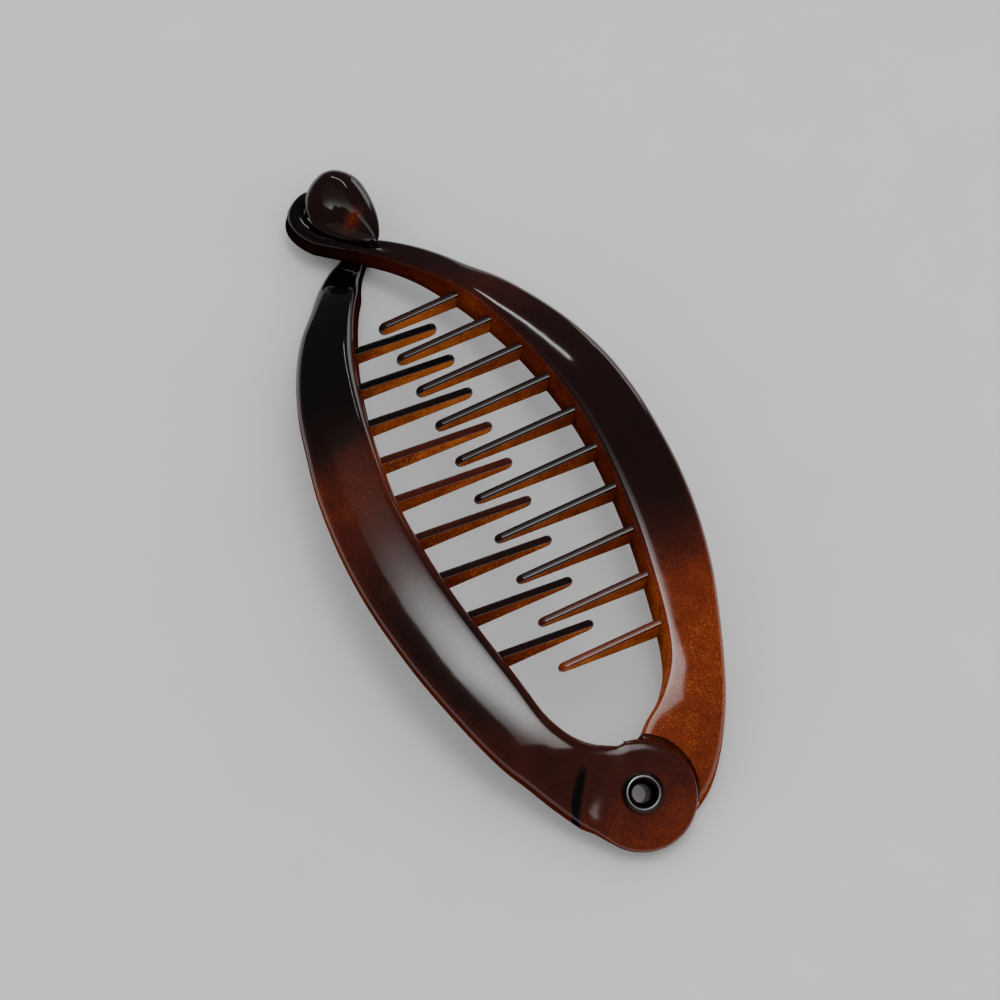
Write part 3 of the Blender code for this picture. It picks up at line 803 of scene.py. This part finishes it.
def tooth(root_x, tip_x, root_depth, tip_depth, y, side):
    """One blade of the comb: its side outline given a thickness and rounded edges."""
    bm = bmesh.new()
    half = TOOTH_THICKNESS / 2 * MM
    outline = tooth_outline(root_x, tip_x, root_depth, tip_depth)
    edges = ring_of(bm, [at(side * x, y, v) - Vector((0, half, 0)) for x, v in outline])
    faces = bmesh.ops.edgeloop_fill(bm, edges=edges)["faces"]
    raised = bmesh.ops.extrude_face_region(bm, geom=faces, use_keep_orig=True)["geom"]
    moved = [v for v in raised if isinstance(v, bmesh.types.BMVert)]
    bmesh.ops.translate(bm, vec=(0.0, 2 * half, 0.0), verts=moved)
    bmesh.ops.recalc_face_normals(bm, faces=bm.faces)
    rims = [e for e in bm.edges if abs(e.verts[0].co.y - e.verts[1].co.y) < 1e-7]
    round_edges(bm, rims, TOOTH_EDGE_RADIUS * MM)
    bmesh.ops.inset_individual(
        bm,
        faces=tooth_sides(bm),
        thickness=TOOTH_SIDE_INSET * MM,
        use_even_offset=True,
    )
    layer = bm.verts.layers.float.new("lit")
    for vert in bm.verts:
        vert[layer] = TOOTH_RIM_LIT
    for face in tooth_sides(bm):
        for vert in face.verts:
            x = side * (vert.co.x / MM - SHIFT_X)
            near_root = min(1.0, max(0.0, (x - root_x + TOOTH_DIMMED_RUN) / TOOTH_DIMMED_RUN))
            vert[layer] = 1.0 - TOOTH_ROOT_DIMMING * near_root
    low = arch(y) * MM
    middle = (y + SHIFT_Y) * MM
    for vert in bm.verts:
        v = (vert.co.z - low) / MM
        x = side * (vert.co.x / MM - SHIFT_X)
        if v < tooth_top(x) - TOOTH_LOWER_EDGE_FROM and x > tip_x + TOOTH_LOWER_EDGE_FROM:
            vert[layer] = max(vert[layer], TOOTH_LOWER_EDGE_LIT)
        ahead = (tip_x + TOOTH_NOSE_TAPER - x) / TOOTH_NOSE_TAPER
        if ahead > 0:
            vert.co.y = middle + (vert.co.y - middle) * math.sqrt(max(0.04, 1 - ahead * ahead))
    bmesh.ops.recalc_face_normals(bm, faces=bm.faces)
    return bm


def add_teeth(bm, table, first_y, pitch, side):
    for index, sizes in enumerate(table):
        add_shell(bm, tooth(*sizes, first_y - pitch * index, side))


# Clasp.

def cap_fullness(x, y):
    """Share of the cap's full height: 1 on its crown, falling in an arc toward the crease."""
    knots = np.array(CAP_CREASE)
    reach = CAP_CROWN_Y - np.interp(x, knots[:, 0], knots[:, 1])
    d = max(0.0, CAP_CROWN_Y - y) * CAP_ARC_REACH / reach
    fall = CAP_ARC_RADIUS - math.sqrt(CAP_ARC_RADIUS**2 - min(d, CAP_ARC_REACH) ** 2)
    return 1.0 - fall / (CAP_RINGS[-1][1] - CAP_EDGE)


def cap_shell():
    """The domed cap, with a spot near its crease where light comes through."""
    outline = smooth_rows(CAP_OUTLINE, 5, closed=True)
    sections = []
    for share, v in smooth_rows(CAP_RINGS, 8):
        ring = []
        for x, y in outline:
            px = CAP_CENTRE[0] + (x - CAP_CENTRE[0]) * share
            py = CAP_CENTRE[1] + (y - CAP_CENTRE[1]) * share
            height = CAP_EDGE + (v - CAP_EDGE) * cap_fullness(px, py) if v > CAP_EDGE else v
            ring.append(at(px, py, height))
        sections.append(ring)
    bm = skin(sections)
    layer = bm.verts.layers.float.new("lit")
    spot = at(*CAP_GLOW, 0.0)
    for vert in bm.verts:
        off = (vert.co.xy - spot.xy) / MM
        along = (off.x + off.y) / CAP_GLOW_LENGTH
        across = (off.x - off.y) / CAP_GLOW_WIDTH
        vert[layer] = CAP_GLOW_LIT * math.exp(-along * along - across * across)
    return bm


def keeper_wall():
    """The rising end behind the hook: flat toward the hook, bowed on the outside."""
    sections = []
    for v, left, right, inner, outer in smooth_rows(KEEPER_WALL, 4):
        ring = [at(left, inner, v), at(right, inner, v)]
        for turn in range(1, KEEPER_WALL_STEPS):
            across = math.cos(math.pi * turn / KEEPER_WALL_STEPS)
            bow = KEEPER_WALL_ROUNDNESS * across * across
            x = (left + right) / 2 + (right - left) / 2 * across
            ring.append(at(x, inner + (outer - inner) * (1 - bow), v))
        sections.append(ring)
    return skin(sections)


def keeper_floor():
    """The floor under the hook; its lower face is level, at the height the clip rests on."""
    outline = smooth_rows(KEEPER_OUTLINE, 4, closed=True)
    heights = (KEEPER_FLOOR_UNDERSIDE_V, KEEPER_FLOOR_V - KEEPER_FLOOR_ROUNDING, KEEPER_FLOOR_V)
    rings = [[at(x, y, v) for x, y in outline] for v in heights]
    level = [Vector((p.x, p.y, 0.0)) for p in rings[0]]
    centre = at(*KEEPER_FLOOR_CENTRE, KEEPER_FLOOR_V)
    rings[2] = [p + (centre - p).normalized() * KEEPER_FLOOR_ROUNDING * MM for p in rings[2]]
    return skin([level] + rings)


def moulding_flash():
    """A torn flake of flash that was left on the left arm's inner edge beside the disc."""
    bm = bmesh.new()
    edges = ring_of(bm, [at(*point) for point in FLAKE_OUTLINE])
    faces = bmesh.ops.edgeloop_fill(bm, edges=edges)["faces"]
    bmesh.ops.solidify(bm, geom=faces, thickness=FLAKE_THICKNESS * MM)
    bmesh.ops.triangulate(bm, faces=bm.faces)
    bmesh.ops.recalc_face_normals(bm, faces=bm.faces)
    return bm


# The finished pieces.

def share_lit(obj, source, cut_share):
    """Gives each vertex the lit share it had before the cuts, and the cut faces their own."""
    tree = KDTree(len(source))
    for index, (place, _) in enumerate(source):
        tree.insert(place, index)
    tree.balance()
    held = obj.data.attributes.get("lit")
    if held:
        obj.data.attributes.remove(held)
    layer = obj.data.attributes.new("lit", "FLOAT", "POINT")
    for vert in obj.data.vertices:
        _, index, distance = tree.find(vert.co)
        share = source[index][1] if distance < LIT_REACH * MM else cut_share
        layer.data[vert.index].value = share


def lit_of(bm):
    """Each vertex's place and lit share."""
    layer = bm.verts.layers.float.get("lit")
    return [(v.co.copy(), v[layer]) for v in bm.verts]


def build_left_arm(plastics):
    bm = left_arm_shell()
    source = lit_of(bm)
    arm = finish_mesh("left_arm_moulding", bm, plastics)
    cut(arm, lug_disc(LOWER_SWEEP_RADIUS, LOWER_SWEEP_DEPTHS))
    cut_bore(arm)
    share_lit(arm, source, LEFT_CUT_LIT)
    bm = bmesh.new()
    bm.from_mesh(arm.data)
    add_teeth(bm, LEFT_TEETH, LEFT_FIRST_TOOTH_Y, LEFT_TOOTH_PITCH, -1)
    for shell in (keeper_floor(), keeper_wall(), cap_shell(), moulding_flash()):
        add_shell(bm, shell)
    bpy.data.objects.remove(arm, do_unlink=True)
    return finish_mesh("left_arm_moulding", bm, plastics)


def block_under_table():
    size = Vector((0.2, 0.3, 0.02))
    bm = bmesh.new()
    bmesh.ops.create_cube(bm, size=1.0)
    bmesh.ops.scale(bm, vec=size, verts=bm.verts)
    bmesh.ops.translate(bm, vec=(0.0, 0.0, -size.z / 2), verts=bm.verts)
    return bm


def build_right_arm(plastics):
    rows = smooth_rows(RIGHT_ARM, STATIONS_PER_ROW)
    bm, _ = arm_shell(rows, 1, [0.0] * len(rows))
    bmesh.ops.recalc_face_normals(bm, faces=bm.faces)
    source = lit_of(bm)
    arm = finish_mesh("right_arm_moulding", bm, plastics)
    cut(arm, lug_disc(UPPER_SWEEP_RADIUS, UPPER_SWEEP_DEPTHS))
    lug = lug_disc(
        LOWER_LUG_RADIUS,
        (LOWER_LUG_TOP, LOWER_LUG_BOTTOM),
        sidestep=LOWER_LUG_SIDESTEP,
        rounding=LOWER_LUG_ROUNDING,
    )
    cut(arm, lug, "UNION")
    cut_bore(arm)
    cut(arm, block_under_table())
    share_lit(arm, source, RIGHT_CUT_LIT)
    bm = bmesh.new()
    bm.from_mesh(arm.data)
    add_teeth(bm, RIGHT_TEETH, RIGHT_FIRST_TOOTH_Y, RIGHT_TOOTH_PITCH, 1)
    bmesh.ops.remove_doubles(bm, verts=bm.verts, dist=1e-6)
    bmesh.ops.dissolve_degenerate(bm, edges=bm.edges, dist=2e-6)
    bpy.data.objects.remove(arm, do_unlink=True)
    return finish_mesh("right_arm_moulding", bm, plastics)


def build_eyelet(metal):
    """The hollow rivet: its outline spun once round the hinge axis."""
    profile = [
        *smooth_rows(EYELET_UPPER_ROLL, 5),
        *EYELET_BARREL,
        *smooth_rows(EYELET_LOWER_ROLL, 3),
    ]
    bm = bmesh.new()
    edges = ring_of(bm, [Vector((radius, 0.0, height)) for radius, height in profile])
    bmesh.ops.spin(
        bm,
        geom=list(bm.verts) + edges,
        cent=(0, 0, 0),
        axis=(0, 0, 1),
        angle=math.tau,
        steps=EYELET_SEGMENTS,
        use_merge=True,
    )
    bmesh.ops.remove_doubles(bm, verts=bm.verts, dist=0.001)
    # Painted highlight: a lighter band of metal along the crest of the upper roll.
    layer = bm.verts.layers.float.new("crest_highlight")
    for vert in bm.verts:
        off_crest = (vert.co.xy.length - EYELET_CREST_RADIUS) / CREST_HIGHLIGHT_HALF_WIDTH
        vert[layer] = math.exp(-off_crest * off_crest) if vert.co.z > -1.0 else 0.0
    bmesh.ops.transform(bm, matrix=hinge_frame(), verts=bm.verts)
    bmesh.ops.recalc_face_normals(bm, faces=bm.faces)
    return finish_mesh("eyelet_rivet", bm, [metal])


# Materials.

def group_tree(name, inputs, outputs):
    """A shader node group with named sockets."""
    tree = bpy.data.node_groups.new(name, "ShaderNodeTree")
    for label, kind, value in inputs:
        socket = tree.interface.new_socket(label, in_out="INPUT", socket_type=kind)
        socket.default_value = value
    for label, kind in outputs:
        tree.interface.new_socket(label, in_out="OUTPUT", socket_type=kind)
    return tree, tree.nodes.new("NodeGroupInput"), tree.nodes.new("NodeGroupOutput")


def add_node(tree, kind, settings=(), **inputs):
    """A node with its settings, and inputs given by name or as i0, i1 by number."""
    node = tree.nodes.new(kind)
    for name, value in dict(settings).items():
        setattr(node, name, value)
    for name, value in inputs.items():
        numbered = name[0] == "i" and name[1:].isdigit()
        socket = node.inputs[int(name[1:]) if numbered else name]
        if isinstance(value, bpy.types.NodeSocket):
            tree.links.new(value, socket)
        else:
            socket.default_value = value
    return node


def maths(tree, operation, first, second=0.0, third=0.0, clamp=False):
    settings = {"operation": operation, "use_clamp": clamp}
    return add_node(tree, "ShaderNodeMath", settings, i0=first, i1=second, i2=third).outputs[0]


def noise(tree, coords, scale, detail):
    inputs = {"Vector": coords, "Scale": scale, "Detail": detail, "Roughness": NOISE_ROUGHNESS}
    return add_node(tree, "ShaderNodeTexNoise", **inputs).outputs["Fac"]


def dot(tree, coords, direction):
    settings = {"operation": "DOT_PRODUCT"}
    node = add_node(tree, "ShaderNodeVectorMath", settings, i0=coords, i1=direction)
    return node.outputs["Value"]


def ramp(tree, factor, stops):
    """A colour ramp with the given (place, colour) stops."""
    node = add_node(tree, "ShaderNodeValToRGB", (), i0=factor)
    elements = node.color_ramp.elements
    while len(elements) < len(stops):
        elements.new(0.5)
    for element, (place, colour) in zip(elements, stops):
        element.position = place
        element.color = colour
    return node.outputs["Color"]


def plain_material(name):
    """A new material, its node tree and its Principled shader."""
    material = bpy.data.materials.new(name)
    material.use_nodes = True
    tree = material.node_tree
    return material, tree, tree.nodes["Principled BSDF"]


def tortoiseshell_group():
    """Speckled shell colour from the tones of thick and thin plastic, and its unevenness."""
    tree, given, made = group_tree(
        "tortoiseshell",
        (
            ("Thick Tone", "NodeSocketFloat", 0.5),
            ("Thin Tone", "NodeSocketFloat", 0.8),
            ("Lit Share", "NodeSocketFloat", 0.0),
            ("Speckle", "NodeSocketFloat", 0.3),
        ),
        (
            ("Color", "NodeSocketColor"),
            ("Roughness", "NodeSocketFloat"),
            ("Height", "NodeSocketFloat"),
        ),
    )
    coords = add_node(tree, "ShaderNodeTexCoord").outputs["Object"]
    grains = noise(tree, coords, GRAIN_SCALE, 2.0)
    clouds = noise(tree, coords, CLOUD_SCALE, 5.0)
    waves = noise(tree, coords, WAVE_SCALE, 2.0)
    gain = maths(tree, "SUBTRACT", given.outputs["Thin Tone"], given.outputs["Thick Tone"])
    gain = maths(tree, "MULTIPLY", gain, given.outputs["Lit Share"])
    base = maths(tree, "ADD", given.outputs["Thick Tone"], gain)
    # Grains and clouds fade out where the shell is ink dark.
    visible = maths(tree, "MULTIPLY", maths(tree, "SUBTRACT", base, 0.1), 2.0, clamp=True)
    speckle = maths(tree, "MULTIPLY", visible, given.outputs["Speckle"])
    grain = maths(tree, "MULTIPLY", maths(tree, "SUBTRACT", grains, 0.5), speckle)
    mottle = maths(tree, "MULTIPLY", visible, MOTTLE)
    cloud = maths(tree, "MULTIPLY", maths(tree, "SUBTRACT", clouds, 0.5), mottle)
    tone = maths(tree, "ADD", maths(tree, "ADD", base, grain), cloud, clamp=True)
    tree.links.new(ramp(tree, tone, SHELL_STOPS), made.inputs["Color"])
    smears = maths(tree, "MULTIPLY_ADD", clouds, SMEAR_ROUGHNESS, SHELL_ROUGHNESS)
    tree.links.new(smears, made.inputs["Roughness"])
    height = maths(tree, "ADD", maths(tree, "MULTIPLY", grains, 0.01), waves)
    tree.links.new(height, made.inputs["Height"])
    return tree


def dust_group():
    """Sparse pale specks of dust laid over a colour."""
    tree, given, made = group_tree(
        "dust specks",
        (("Color", "NodeSocketColor", INK), ("Amount", "NodeSocketFloat", 0.5)),
        (("Color", "NodeSocketColor"),),
    )
    coords = add_node(tree, "ShaderNodeTexCoord").outputs["Object"]
    cells = add_node(tree, "ShaderNodeTexVoronoi", Vector=coords, Scale=DUST_SCALE)
    # A speck lies at the middle of each cell whose random colour is rare enough.
    near = maths(tree, "LESS_THAN", cells.outputs["Distance"], DUST_RADIUS)
    chosen = add_node(tree, "ShaderNodeSeparateColor", i0=cells.outputs["Color"]).outputs[0]
    rare = maths(tree, "GREATER_THAN", chosen, DUST_RARITY)
    mask = maths(tree, "MULTIPLY", maths(tree, "MULTIPLY", near, rare), given.outputs["Amount"])
    mixed = tree.nodes.new("ShaderNodeMix")
    mixed.data_type = "RGBA"
    tree.links.new(mask, mixed.inputs["Factor"])
    tree.links.new(given.outputs["Color"], mixed.inputs[6])
    mixed.inputs[7].default_value = DUST_COLOUR
    tree.links.new(mixed.outputs[2], made.inputs["Color"])
    return tree


def tone_along(tree, place, tones, column):
    """One column of a tone table read at the place along the clip."""
    first, last = tones[0][0], tones[-1][0]
    start = (first + SHIFT_Y) * MM
    reach = (last - first) * MM
    share = maths(tree, "DIVIDE", maths(tree, "SUBTRACT", place, start), reach, clamp=True)
    stops = [((row[0] - first) / (last - first), (row[column],) * 3 + (1.0,)) for row in tones]
    return ramp(tree, share, stops)


def shade_stripe_share(tree, coords, drift):
    """1 on the plastic, falling along the painted shade stripe across the left arm beside the disc.
    """
    offset = maths(tree, "SUBTRACT", dot(tree, coords, SHADE_STRIPE_NORMAL), SHADE_STRIPE_OFFSET * MM)
    offset = maths(tree, "MULTIPLY_ADD", drift, SHADE_STRIPE_DRIFT, offset)
    offset = maths(tree, "DIVIDE", offset, SHADE_STRIPE_HALF_WIDTH * MM)
    depth = maths(tree, "EXPONENT", maths(tree, "MULTIPLY", maths(tree, "POWER", offset, 4.0), -1.0))
    begun = maths(tree, "SUBTRACT", dot(tree, coords, SHADE_STRIPE_RUN), SHADE_STRIPE_START * MM)
    begun = maths(tree, "DIVIDE", begun, SHADE_STRIPE_FADE * MM, clamp=True)
    return maths(tree, "MULTIPLY_ADD", depth, maths(tree, "MULTIPLY", begun, -SHADE_STRIPE_DARKNESS), 1.0)


def shell_plastic(name, tones, groups, speckle, refraction, shade_stripe):
    """Moulded tortoiseshell whose tone follows the arm from hinge to clasp, darkened along a painted
    shade stripe when asked.
    """
    material, tree, shader = plain_material(name)
    coords = add_node(tree, "ShaderNodeTexCoord").outputs["Object"]
    along = add_node(tree, "ShaderNodeSeparateXYZ", i0=coords).outputs["Y"]
    drift = maths(tree, "SUBTRACT", noise(tree, coords, DRIFT_SCALE, 4.0), 0.5)
    place = maths(tree, "ADD", along, maths(tree, "MULTIPLY", drift, TONE_DRIFT))
    shell, specks = (tree.nodes.new("ShaderNodeGroup") for _ in groups)
    shell.node_tree, specks.node_tree = groups
    for column, label in ((1, "Thick Tone"), (2, "Thin Tone")):
        tone = tone_along(tree, place, tones, column)
        # Painted shade: a dark stripe across the left arm beside the disc.
        if shade_stripe:
            tone = maths(tree, "MULTIPLY", tone, shade_stripe_share(tree, coords, drift))
        tree.links.new(tone, shell.inputs[label])
    lit = add_node(tree, "ShaderNodeAttribute", {"attribute_name": "lit"}).outputs["Fac"]
    tree.links.new(lit, shell.inputs["Lit Share"])
    shell.inputs["Speckle"].default_value = speckle
    tree.links.new(shell.outputs["Color"], specks.inputs["Color"])
    bump = add_node(tree, "ShaderNodeBump", Height=shell.outputs["Height"], Strength=0.5)
    bump.inputs["Distance"].default_value = UNEVENNESS
    tree.links.new(specks.outputs["Color"], shader.inputs["Base Color"])
    tree.links.new(shell.outputs["Roughness"], shader.inputs["Roughness"])
    tree.links.new(bump.outputs["Normal"], shader.inputs["Normal"])
    shader.inputs["IOR"].default_value = refraction
    return material


def shell_plastics(side, tones, groups, speckle, shade_stripe=False):
    """The glossy face of an arm, and the duller walls and tooth sides."""
    return [
        shell_plastic(side + " arm tortoiseshell", tones, groups, speckle, GLOSSY_IOR, shade_stripe),
        shell_plastic(side + " arm thin edges", tones, groups, speckle, THIN_EDGE_IOR, shade_stripe),
    ]


def blackened_metal():
    """Dark metal with patches of wear, lighter along the eyelet's crest as a painted highlight."""
    material, tree, shader = plain_material("blackened metal")
    coords = add_node(tree, "ShaderNodeTexCoord").outputs["Object"]
    wear = noise(tree, coords, WEAR_SCALE, 3.0)
    # The crest attribute paints a highlight on the eyelet's crest as lighter metal; the noise adds
    # wear.
    crest_highlight = add_node(tree, "ShaderNodeAttribute", {"attribute_name": "crest_highlight"}).outputs["Fac"]
    wear_and_crest_highlight = maths(tree, "MULTIPLY_ADD", wear, WEAR_SHARE, crest_highlight)
    colour = ramp(tree, wear_and_crest_highlight, METAL_STOPS)
    tree.links.new(colour, shader.inputs["Base Color"])
    rough = maths(tree, "MULTIPLY_ADD", wear, WEAR_SHARE, METAL_ROUGHNESS)
    tree.links.new(rough, shader.inputs["Roughness"])
    shader.inputs["Metallic"].default_value = 1.0
    return material


def floor_card():
    """The plain pale sheet that the clip lies on."""
    material, tree, shader = plain_material("pale paper")
    coords = add_node(tree, "ShaderNodeTexCoord").outputs["Object"]
    colour = ramp(tree, noise(tree, coords, FIBRE_SCALE, 6.0), PAPER_STOPS)
    tree.links.new(colour, shader.inputs["Base Color"])
    shader.inputs["Roughness"].default_value = 0.9
    shader.inputs["Specular IOR Level"].default_value = 0.1
    bm = bmesh.new()
    bmesh.ops.create_grid(bm, x_segments=1, y_segments=1, size=3.0)
    mesh = bpy.data.meshes.new("floor")
    bm.to_mesh(mesh)
    bm.free()
    mesh.materials.append(material)
    floor = bpy.data.objects.new("floor", mesh)
    bpy.context.scene.collection.objects.link(floor)


# Camera and light.

TARGET = at(0.0, 0.0, -ARCH_TOP_Z - 0.9)
VIEW_ELEVATION = math.radians(60.991)
VIEW_AZIMUTH = math.radians(24.641)
VIEW_DISTANCE = 0.720
LENS = 152.65
LENS_SHIFT = (0.00844, 0.03082)

SOFTBOX_PLACE = (0.098, 0.32, 1.2)
SOFTBOX_SIZE = (0.464, 1.86)
SOFTBOX_RADIANCE = 9.5
# How far the glow's middle lies from the panel's, and its reach, both in metres.
GLOW_OFFSET = (0.038, 0.43)
GLOW_REACH = (0.22, 0.365)
GLOW_SLANT = 0.35
GLOW_STRETCH = 0.52
GLOW_SKIRT = 0.04
GLOW_SKIRT_FALL = 0.14

BACK_LIGHT_DISTANCE = 1.2
# The strip's length runs between these two directions, as seen from the clip.
STRIP_LOW = Vector((0.24, 0.86, 0.45))
STRIP_HIGH = Vector((0.38, 0.66, 0.65))
STRIP_SIZE = (0.035, 0.38)
STRIP_RADIANCE = 10.0
WINDOW_DIRECTION = Vector((0.74, 0.62, 0.26))
WINDOW_SIZE = (0.40, 0.42)
WINDOW_RADIANCE = 2.2

SURROUNDINGS = 1.3
MIRRORED_SURROUNDINGS = 0.09


def add_camera():
    """The photograph's view: from the left of the hinge end, well above the clip."""
    toward = Vector(
        (
            math.cos(VIEW_ELEVATION) * math.sin(VIEW_AZIMUTH),
            math.cos(VIEW_ELEVATION) * math.cos(VIEW_AZIMUTH),
            -math.sin(VIEW_ELEVATION),
        )
    )
    data = bpy.data.cameras.new("photo camera")
    data.sensor_width = 36.0
    data.lens = LENS
    data.shift_x, data.shift_y = LENS_SHIFT
    data.clip_start = 0.01
    camera = bpy.data.objects.new("photo camera", data)
    camera.location = TARGET - toward * VIEW_DISTANCE
    camera.rotation_euler = toward.to_track_quat("-Z", "Y").to_euler()
    bpy.context.scene.collection.objects.link(camera)
    bpy.context.scene.camera = camera


def add_panel(name, centre, turn, size, radiance):
    """A soft rectangular panel. Unturned it shines straight down with its width along x."""
    data = bpy.data.lights.new(name, "AREA")
    data.shape = "RECTANGLE"
    data.size, data.size_y = size
    data.energy = radiance * math.pi * size[0] * size[1]
    panel = bpy.data.objects.new(name, data)
    panel.location = centre
    panel.rotation_euler = turn
    bpy.context.scene.collection.objects.link(panel)
    return data


def centre_panel_glow(data, size):
    """Makes the panel brightest near its middle, with a faint skirt out to its edges."""
    data.use_nodes = True
    tree = data.node_tree
    spot = add_node(tree, "ShaderNodeNewGeometry").outputs["Parametric"]
    parts = add_node(tree, "ShaderNodeSeparateXYZ", i0=spot)
    across, along = (
        maths(tree, "MULTIPLY_ADD", parts.outputs[axis], size[i], GLOW_OFFSET[i] - size[i] / 2)
        for i, axis in enumerate("XY")
    )
    # Toward one end of the panel the glow slants to one side and fades more slowly.
    before = maths(tree, "MINIMUM", along, 0.0)
    across = maths(tree, "MULTIPLY_ADD", before, GLOW_SLANT, across)
    across = maths(tree, "DIVIDE", across, GLOW_REACH[0])
    along = maths(tree, "DIVIDE", along, GLOW_REACH[1])
    along = maths(tree, "MULTIPLY_ADD", before, -GLOW_STRETCH, along)
    fall = maths(tree, "MULTIPLY_ADD", along, along, maths(tree, "MULTIPLY", across, across))
    glow = maths(tree, "EXPONENT", maths(tree, "MULTIPLY", fall, -1.0))
    skirt = maths(tree, "EXPONENT", maths(tree, "MULTIPLY", fall, -GLOW_SKIRT_FALL))
    glow = maths(tree, "MULTIPLY_ADD", skirt, GLOW_SKIRT, glow)
    tree.links.new(glow, tree.nodes["Emission"].inputs["Strength"])


def add_world():
    """Dim surroundings as mirrored by the gloss, with a fuller fill for the shadows."""
    world = bpy.data.worlds.new("studio")
    world.use_nodes = True
    tree = world.node_tree
    glossy = add_node(tree, "ShaderNodeLightPath").outputs["Is Glossy Ray"]
    mirrored = MIRRORED_SURROUNDINGS - SURROUNDINGS
    strength = maths(tree, "MULTIPLY_ADD", glossy, mirrored, SURROUNDINGS)
    tree.nodes["Background"].inputs["Color"].default_value = (1, 1, 1, 1)
    tree.links.new(strength, tree.nodes["Background"].inputs["Strength"])
    bpy.context.scene.world = world


def add_lights():
    softbox = add_panel(
        "overhead softbox", SOFTBOX_PLACE, (0, 0, 0), SOFTBOX_SIZE, SOFTBOX_RADIANCE
    )
    centre_panel_glow(softbox, SOFTBOX_SIZE)
    away = ((STRIP_LOW + STRIP_HIGH) / 2).normalized()
    run = (STRIP_HIGH - STRIP_LOW).normalized()
    across = run.cross(away).normalized()
    turn = Matrix((across, away.cross(across), away)).transposed().to_euler()
    add_panel("back strip", away * BACK_LIGHT_DISTANCE, turn, STRIP_SIZE, STRIP_RADIANCE)
    away = WINDOW_DIRECTION.normalized()
    turn = away.to_track_quat("Z", "Y").to_euler()
    add_panel("back window", away * BACK_LIGHT_DISTANCE, turn, WINDOW_SIZE, WINDOW_RADIANCE)
    add_world()


def main():
    groups = (tortoiseshell_group(), dust_group())
    left = build_left_arm(shell_plastics("left", LEFT_TONES, groups, LEFT_SPECKLE, shade_stripe=True))
    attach(left, "left")
    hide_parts("left_arm")
    right = build_right_arm(shell_plastics("right", RIGHT_TONES, groups, RIGHT_SPECKLE))
    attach(right, "right")
    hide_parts("right_arm")
    eyelet = build_eyelet(blackened_metal())
    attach(eyelet, "left")
    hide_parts("hinge_eyelet")
    floor_card()
    add_lights()
    add_camera()


main()
